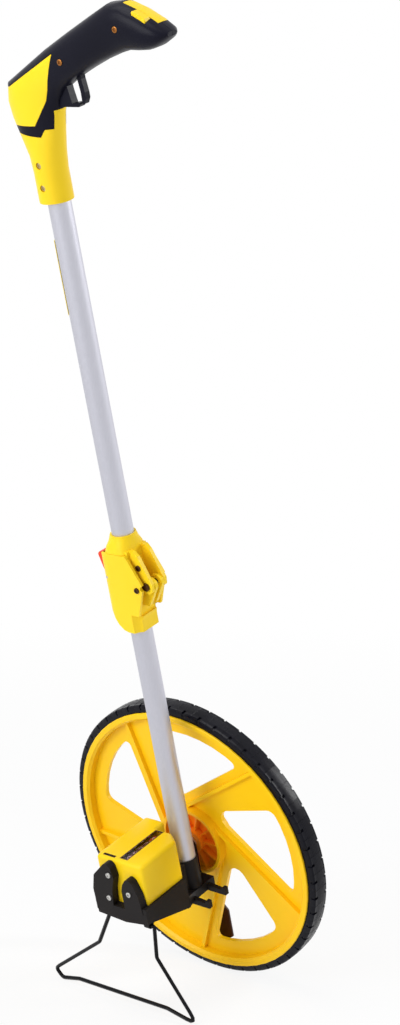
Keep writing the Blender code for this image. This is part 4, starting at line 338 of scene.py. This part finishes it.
def make_materials():
    """Every look: its material's name, darkest and lightest colour, and roughness."""
    return {
        "wheel": moulded("wheel_yellow", (0.94, 0.54, 0.004), (0.98, 0.63, 0.006), 0.34),
        "yellow": moulded("case_yellow", (0.92, 0.60, 0.006), (0.96, 0.66, 0.010), 0.34),
        "lemon": moulded("mast_yellow", (0.93, 0.62, 0.010), (0.97, 0.69, 0.018), 0.36),
        "black": moulded("grip_black", (0.004, 0.004, 0.009), (0.009, 0.009, 0.018), 0.32,
                         sheen_share=DARK_SHEEN_SHARE),
        "bracket": moulded("bracket_black", (0.010, 0.008, 0.008), (0.016, 0.014, 0.014), 0.42,
                           sheen_share=DARK_SHEEN_SHARE),
        "red": moulded("button_red", (0.74, 0.045, 0.012), (0.86, 0.075, 0.022), 0.34),
        "ivory": moulded("gear_ivory", (0.70, 0.68, 0.62), (0.78, 0.76, 0.70), 0.45),
        "drum": moulded("drum_dark", (0.150, 0.080, 0.070), (0.210, 0.120, 0.105), 0.4),
        "drum_red": moulded("drum_red", (0.40, 0.03, 0.02), (0.50, 0.05, 0.03), 0.4),
        "digits": moulded("digit_white", (0.80, 0.78, 0.76), (0.90, 0.88, 0.86), 0.5),
        # This brown is also the painted shade in the reset slot
        "bezel": moulded("bezel_and_slot_shade_brown", (0.040, 0.016, 0.010), (0.060, 0.026, 0.016), 0.35),
        "brown": moulded("pointer_brown", (0.030, 0.008, 0.006), (0.055, 0.016, 0.010), 0.42),
        "tyre": rubber("tyre_rubber", (0.002, 0.002, 0.004), (0.005, 0.005, 0.010), 0.25),
        "shoe": rubber("brake_rubber", (0.012, 0.012, 0.013), (0.022, 0.022, 0.022), 0.7),
        "tube": metal("tube_aluminium", (0.50, 0.50, 0.56), (0.59, 0.59, 0.65), 0.44,
                      TUBE_STRETCH, TUBE_NOISE, TUBE_GRAIN_SHARE, TUBE_METAL_SHARE),
        "steel": metal("fastener_steel", (0.50, 0.49, 0.47), (0.66, 0.65, 0.63), 0.28),
        "dark": metal("fastener_dark", (0.060, 0.030, 0.016), (0.110, 0.060, 0.034), 0.34),
        "brass": metal("screw_brass", (0.27, 0.10, 0.025), (0.40, 0.17, 0.045), 0.34),
        "pale": metal("screw_pale_brass", (0.50, 0.38, 0.17), (0.68, 0.54, 0.27), 0.30),
        "wire": moulded("wire_lacquer", (0.006, 0.006, 0.007), (0.010, 0.010, 0.012), 0.30,
                        WIRE_GRAIN_SHARE, DARK_SHEEN_SHARE),
        "window": clear_plastic("window_clear", (0.80, 0.66, 0.66), 0.05),
        "label": moulded("label_yellow", (0.93, 0.66, 0.02), (0.97, 0.72, 0.04), 0.3,
                         LABEL_GRAIN_SHARE),
    }


def paint(nodes, looks):
    """Give each solid its material and smooth its round faces."""
    for look, names in NODE_LOOKS.items():
        for name in names:
            item = nodes[name]
            if not item.material_slots:
                item.data.materials.append(looks[look])
            for slot in item.material_slots:
                slot.material = looks[look]
            smooth(item, SMOOTH_ANGLES.get(name, SOLID_ANGLE))


def smooth(item, angle):
    """Round faces shade smoothly up to an angle and stay crisp beyond it."""
    if "custom_normal" in item.data.attributes:
        item.data.attributes.remove(item.data.attributes["custom_normal"])
    item.data.shade_smooth()
    weld = item.modifiers.new("weld", "WELD")
    weld.merge_threshold = WELD_REACH
    split = item.modifiers.new("crisp_edges", "EDGE_SPLIT")
    split.split_angle = math.radians(angle)


def warm_hub(item):
    """Paint shade near the wheel's axis: its yellow deepens to orange there, in place of shade
    and bounced yellow light.
    """
    tree = item.material_slots[0].material.node_tree
    shader = tree.nodes["Principled BSDF"]
    plain = shader.inputs["Base Color"].links[0].from_socket
    into = item.matrix_world.inverted()
    centre = into @ DEVICE
    axis = (into.to_3x3() @ UPRIGHT.to_3x3() @ Vector((0.0, 1.0, 0.0))).normalized()
    place = tree.nodes.new("ShaderNodeTexCoord")
    offset = tree.nodes.new("ShaderNodeVectorMath")
    offset.operation = "SUBTRACT"
    offset.inputs[1].default_value = centre
    across = tree.nodes.new("ShaderNodeVectorMath")
    across.operation = "CROSS_PRODUCT"
    across.inputs[1].default_value = axis
    distance = tree.nodes.new("ShaderNodeVectorMath")
    distance.operation = "LENGTH"
    fade = tree.nodes.new("ShaderNodeMapRange")
    fade.interpolation_type = "SMOOTHSTEP"
    fade.inputs["From Min"].default_value = HUB_INNER
    fade.inputs["From Max"].default_value = HUB_OUTER
    mix = tree.nodes.new("ShaderNodeMix")
    mix.data_type = "RGBA"
    mix.inputs[MIX_FIRST].default_value = (*HUB_SHADE_ORANGE, 1.0)
    tree.links.new(place.outputs["Object"], offset.inputs[0])
    tree.links.new(offset.outputs[0], across.inputs[0])
    tree.links.new(across.outputs[0], distance.inputs[0])
    tree.links.new(distance.outputs["Value"], fade.inputs["Value"])
    tree.links.new(fade.outputs["Result"], mix.inputs[MIX_FACTOR])
    tree.links.new(plain, mix.inputs[MIX_SECOND])
    tree.links.new(mix.outputs[MIX_RESULT], shader.inputs["Base Color"])


def extent(item):
    """The lowest and highest corner of a solid in the upright frame."""
    place = UPRIGHT.inverted() @ item.matrix_world
    spots = [place @ vertex.co for vertex in item.data.vertices]
    low = Vector([min(spot[k] for spot in spots) for k in range(3)])
    high = Vector([max(spot[k] for spot in spots) for k in range(3)])
    return low, high


def link(item):
    """Put a new object in the scene."""
    bpy.context.scene.collection.objects.link(item)
    return item


def piece(name, shape, look, body, angle=PIECE_ANGLE):
    """A new piece drawn in the upright frame, riding on a body."""
    shape.transform(UPRIGHT)
    mesh = bpy.data.meshes.new(name)
    bmesh.ops.recalc_face_normals(shape, faces=shape.faces)
    shape.to_mesh(mesh)
    shape.free()
    mesh.shade_smooth()
    mesh.set_sharp_from_angle(angle=math.radians(angle))
    made = link(bpy.data.objects.new(name, mesh))
    mesh.materials.append(look)
    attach(made, body)
    return made


def make_camera():
    """The camera of the photograph, fitted to the wheel's ellipse and to the mast."""
    data = bpy.data.cameras.new("camera")
    data.lens = CAMERA_LENS
    data.sensor_width = CAMERA_SENSOR
    data.sensor_fit = "AUTO"
    made = link(bpy.data.objects.new("camera", data))
    made.location = CAMERA_FROM_DEVICE + DEVICE
    made.rotation_euler = (math.radians(90.0) - CAMERA_ELEVATION, 0.0, CAMERA_AZIMUTH)
    bpy.context.scene.camera = made


def make_lights():
    """Rectangular lamps that face one point."""
    for name, place, size, power in LIGHTS:
        data = bpy.data.lights.new(name, "AREA")
        data.shape = "RECTANGLE"
        data.size, data.size_y = size
        data.energy = power
        made = link(bpy.data.objects.new(name, data))
        made.location = place
        aim = Vector(LIGHT_TARGET) - Vector(place)
        made.rotation_euler = aim.to_track_quat("-Z", "Y").to_euler()


def any_of(tree, names):
    """1 where a ray is of one of these kinds."""
    path = tree.nodes.new("ShaderNodeLightPath")
    total = path.outputs[names[0]]
    for name in names[1:]:
        step = tree.nodes.new("ShaderNodeMath")
        step.operation = "MAXIMUM"
        tree.links.new(total, step.inputs[0])
        tree.links.new(path.outputs[name], step.inputs[1])
        total = step.outputs[0]
    return total


def make_world():
    """A white background for what the camera and mirrors see, and softer light on the object."""
    world = bpy.data.worlds.new("studio")
    bpy.context.scene.world = world
    world.use_nodes = True
    tree = world.node_tree
    tree.nodes.clear()
    out = tree.nodes.new("ShaderNodeOutputWorld")
    mix = tree.nodes.new("ShaderNodeMixShader")
    seen = tree.nodes.new("ShaderNodeBackground")
    seen.inputs["Color"].default_value = (1.0, 1.0, 1.0, 1.0)
    seen.inputs["Strength"].default_value = 1.0
    fill = tree.nodes.new("ShaderNodeBackground")
    fill.inputs["Color"].default_value = (*FILL_COLOR, 1.0)
    fill.inputs["Strength"].default_value = FILL_STRENGTH
    tree.links.new(any_of(tree, SEEN_RAYS), mix.inputs["Fac"])
    tree.links.new(fill.outputs[0], mix.inputs[1])
    tree.links.new(seen.outputs[0], mix.inputs[2])
    tree.links.new(mix.outputs[0], out.inputs["Surface"])


def floor_paper():
    """A pale matt surface that turns into plain white further out."""
    paper, tree, shader = new_material("floor_paper", (FLOOR_GREY,) * 3, FLOOR_ROUGHNESS)
    shader.inputs["Specular IOR Level"].default_value = 0.0
    glow = tree.nodes.new("ShaderNodeEmission")
    glow.inputs["Strength"].default_value = 1.0
    place = tree.nodes.new("ShaderNodeTexCoord")
    distance = tree.nodes.new("ShaderNodeVectorMath")
    distance.operation = "LENGTH"
    tree.links.new(place.outputs["Object"], distance.inputs[0])
    fade = tree.nodes.new("ShaderNodeMapRange")
    fade.inputs["From Min"].default_value = SHADOW_NEAR
    fade.inputs["From Max"].default_value = SHADOW_FAR
    fade.inputs["To Min"].default_value = FLOOR_GLOW_SHARE
    fade.inputs["To Max"].default_value = 1.0
    tree.links.new(distance.outputs["Value"], fade.inputs["Value"])
    share = tree.nodes.new("ShaderNodeMath")
    share.operation = "MULTIPLY"
    tree.links.new(any_of(tree, SEEN_RAYS), share.inputs[0])
    tree.links.new(fade.outputs["Result"], share.inputs[1])
    mix = tree.nodes.new("ShaderNodeMixShader")
    tree.links.new(share.outputs[0], mix.inputs["Fac"])
    tree.links.new(shader.outputs[0], mix.inputs[1])
    tree.links.new(glow.outputs[0], mix.inputs[2])
    tree.links.new(mix.outputs[0], tree.nodes["Material Output"].inputs["Surface"])
    return paper


def make_floor():
    """A pale floor that keeps the object's shadow and runs out into the white background."""
    shape = bmesh.new()
    bmesh.ops.create_circle(shape, cap_ends=True, radius=FLOOR_RADIUS, segments=FLOOR_SIDES)
    mesh = bpy.data.meshes.new("floor")
    shape.to_mesh(mesh)
    shape.free()
    made = link(bpy.data.objects.new("floor", mesh))
    mesh.materials.append(floor_paper())


def tyre_ring(shape, angle, groove_share, notch_share):
    """One cross-section of the tyre at an angle, with its grooves sunk by shares."""
    drop = GROOVE_DEPTH * groove_share
    notch = NOTCH_DEPTH * notch_share * (1.0 - groove_share)
    flank = notch / 2
    profile = [(BEAD_RADIUS, 0.0), (SIDE_RADIUS - SHOULDER_ROUND, 0.0),
               (SIDE_RADIUS - notch, flank)]
    for k in range(1, SHOULDER_STEPS):
        turn = math.radians(90.0) * k / SHOULDER_STEPS
        profile.append((SIDE_RADIUS + SHOULDER_ROUND * math.sin(turn) - drop - notch,
                        SHOULDER_ROUND * (1.0 - math.cos(turn))))
    for share, line, edge in CROWN_SHARES:
        # A parabola: nothing at the tread's edges, the full crown in its middle
        crown = TREAD_CROWN * (1.0 - 4.0 * (share - 0.5) ** 2)
        across = SHOULDER_ROUND + (TYRE_WIDTH - 2 * SHOULDER_ROUND) * share
        sunk = max(drop, LINE_DEPTH * line, notch * edge)
        profile.append((TREAD_RADIUS - TREAD_CROWN + crown - sunk, across))
    mirrored = [(r, TYRE_WIDTH - y) for r, y in reversed(profile)]
    spin = Vector((math.cos(angle), math.sin(angle)))
    return [shape.verts.new((r * spin.x, y, r * spin.y)) for r, y in profile + mirrored]


def band(shape, first, second):
    """Faces between two loops of the same length."""
    for i in range(len(first)):
        j = (i + 1) % len(first)
        shape.faces.new((first[i], second[i], second[j], first[j]))


def make_tyre(look):
    """The tyre's tread: blocks parted by narrow grooves, with small notches at the shoulders."""
    shape = bmesh.new()
    rings = []
    for i in range(TREAD_BLOCKS):
        for along, groove, notch in BLOCK_SHARES:
            angle = 2 * math.pi * (i + along - 0.5) / TREAD_BLOCKS + TREAD_START
            rings.append(tyre_ring(shape, angle, groove, notch))
    for here, there in zip(rings, rings[1:] + rings[:1]):
        band(shape, here, there)
    made = piece("tyre_tread", shape, look, "wheel", TREAD_ANGLE)
    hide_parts("tyre")


def digit_mesh(text):
    """A flat digit as a mesh, from the program's own font."""
    curve = bpy.data.curves.new("digit", "FONT")
    curve.body = text
    curve.size = DIGIT_HEIGHT * DIGIT_FONT_SHARE
    curve.align_x = "CENTER"
    curve.align_y = "CENTER"
    curve.resolution_u = DIGIT_CURVE_STEPS
    holder = link(bpy.data.objects.new("digit", curve))
    bpy.context.view_layer.update()
    mesh = bpy.data.meshes.new_from_object(holder)
    bpy.data.objects.remove(holder)
    return mesh


def make_digits(nodes, look):
    """Ten digits wrapped round each number drum."""
    flat = [digit_mesh(str(n)) for n in range(DIGIT_COUNT)]
    for drum, start in enumerate(DRUM_STARTS, 1):
        low, high = extent(nodes["number_drum_%d" % drum])
        middle = (low + high) / 2
        reach = (high.x - low.x) / 2 + DIGIT_PROUD
        shape = bmesh.new()
        for n in range(DIGIT_COUNT):
            turn = DIGIT_READ_ANGLE - 2 * math.pi * (n - start) / DIGIT_COUNT
            first = len(shape.verts)
            shape.from_mesh(flat[n])
            shape.verts.ensure_lookup_table()
            for vertex in shape.verts[first:]:
                across, up = vertex.co.x, vertex.co.y
                angle = turn - up / reach
                vertex.co = (middle.x - reach * math.cos(angle),
                             middle.y + across * DIGIT_STRETCH_SHARE,
                             middle.z + reach * math.sin(angle))
        made = piece("drum_digits_%d" % drum, shape, look, "drum_%d" % drum)


def ring_of(shape, radius, level):
    """A circle of points across Y."""
    turns = [2 * math.pi * i / SCREW_SIDES for i in range(SCREW_SIDES)]
    return [shape.verts.new((radius * math.cos(a), level, radius * math.sin(a))) for a in turns]


def cross_loop(shape, level, turn):
    """The twelve corners of a cross recess."""
    a, b = RECESS_WIDTH / 2, RECESS_REACH
    corners = ((b, -a), (b, a), (a, a), (a, b), (-a, b), (-a, a),
               (-b, a), (-b, -a), (-a, -a), (-a, -b), (a, -b), (a, -a))
    made = []
    for x, z in corners:
        spot = Vector((x, z))
        spot.rotate(Matrix.Rotation(turn, 2))
        made.append(shape.verts.new((spot.x, level, spot.y)))
    return made


def make_screw(nodes, name, look, body, turn):
    """A round-headed screw with a cross recess, in the place of the plain solid."""
    low, high = extent(nodes[name])
    middle = (low + high) / 2
    radius = (high.x - low.x) / 2
    shape = bmesh.new()
    rim = ring_of(shape, radius - HEAD_ROUND, 0.0)
    mouth = cross_loop(shape, 0.0, turn)
    edges = []
    for loop in (rim, mouth):
        edges += [shape.edges.new((loop[i - 1], loop[i])) for i in range(len(loop))]
    bmesh.ops.triangle_fill(shape, use_beauty=True, edges=edges)
    bottom = cross_loop(shape, RECESS_DEPTH, turn)
    band(shape, mouth, bottom)
    shape.faces.new(bottom)
    step = HEAD_ROUND * HEAD_STEP_SHARE
    rounded = ring_of(shape, radius - step, step)
    side = ring_of(shape, radius, HEAD_ROUND)
    seat = ring_of(shape, radius, SCREW_HEAD_THICK)
    neck = ring_of(shape, SCREW_SHANK_RADIUS, SCREW_HEAD_THICK)
    tip = ring_of(shape, SCREW_SHANK_RADIUS, high.y - low.y)
    for first, second in ((rim, rounded), (rounded, side), (side, seat), (seat, neck),
                          (neck, tip)):
        band(shape, first, second)
    shape.faces.new(tip)
    for vertex in shape.verts:
        vertex.co += Vector((middle.x, low.y, middle.z))
    made = piece(name + "_cross", shape, look, body, SCREW_ANGLE)
    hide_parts(name)


def make_rim(name, low, high, loops, look):
    """A thin closed frame round a box: each loop is how far outside the box, and its level."""
    shape = bmesh.new()
    rings = []
    for grow, level in loops:
        corners = ((low.x - grow, low.y - grow), (high.x + grow, low.y - grow),
                   (high.x + grow, high.y + grow), (low.x - grow, high.y + grow))
        rings.append([shape.verts.new((x, y, level)) for x, y in corners])
    for first, second in zip(rings, rings[1:] + rings[:1]):
        band(shape, first, second)
    made = piece(name, shape, look, "frame")


def make_rims(nodes, look):
    """The dark frame round the counter's window, and a dark sheet of painted shade on the walls
    and edge of the reset slot.
    """
    low, high = extent(nodes["counter_window"])
    base = high.z + BEZEL_LIFT
    make_rim("window_bezel", low, high,
             ((-BEZEL_WIDTH, base), (-BEZEL_WIDTH, base + BEZEL_PROUD),
              (BEZEL_OVERLAP, base + BEZEL_PROUD), (BEZEL_OVERLAP, base)), look)
    low, high = extent(nodes["reset_slider"])
    middle = (low.y + high.y) / 2
    top = extent(nodes["counter_cover"])[1].z
    low = Vector((low.x + SLOT_OVERHANG, middle - SLOT_HALF_WIDTH, top))
    high = Vector((high.x - SLOT_OVERHANG, middle + SLOT_HALF_WIDTH, top))
    # Painted shade: the slot's walls and edge are covered dark, in place of the shade inside the
    # narrow slot
    over, under, deep = top + LIP_TOP, top + LIP_UNDER, top - SLOT_SHADE_DEPTH
    make_rim("slot_painted_shade", low, high,
             ((SLOT_LIP, under), (SLOT_LIP, over), (-SHADE_INSET, over), (-SHADE_INSET, deep),
              (-SHADE_CLEAR, deep), (-SHADE_CLEAR, under)), look)


def main():
    """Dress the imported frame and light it."""
    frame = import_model()
    nodes = frame["nodes"]
    bpy.context.scene.view_settings.view_transform = "Standard"
    looks = make_materials()
    make_camera()
    make_world()
    make_floor()
    make_lights()
    paint(nodes, looks)
    # Painted shade: the wheel's yellow turns orange round the hub
    warm_hub(nodes["wheel_disc"])
    make_tyre(looks["tyre"])
    make_digits(nodes, looks["digits"])
    for name, look, body, slot, turn in SCREWS:
        make_screw(nodes, name, looks[look], body, math.radians(turn))
    # The window's dark frame, and painted shade in the reset slot
    make_rims(nodes, looks["bezel"])


main()
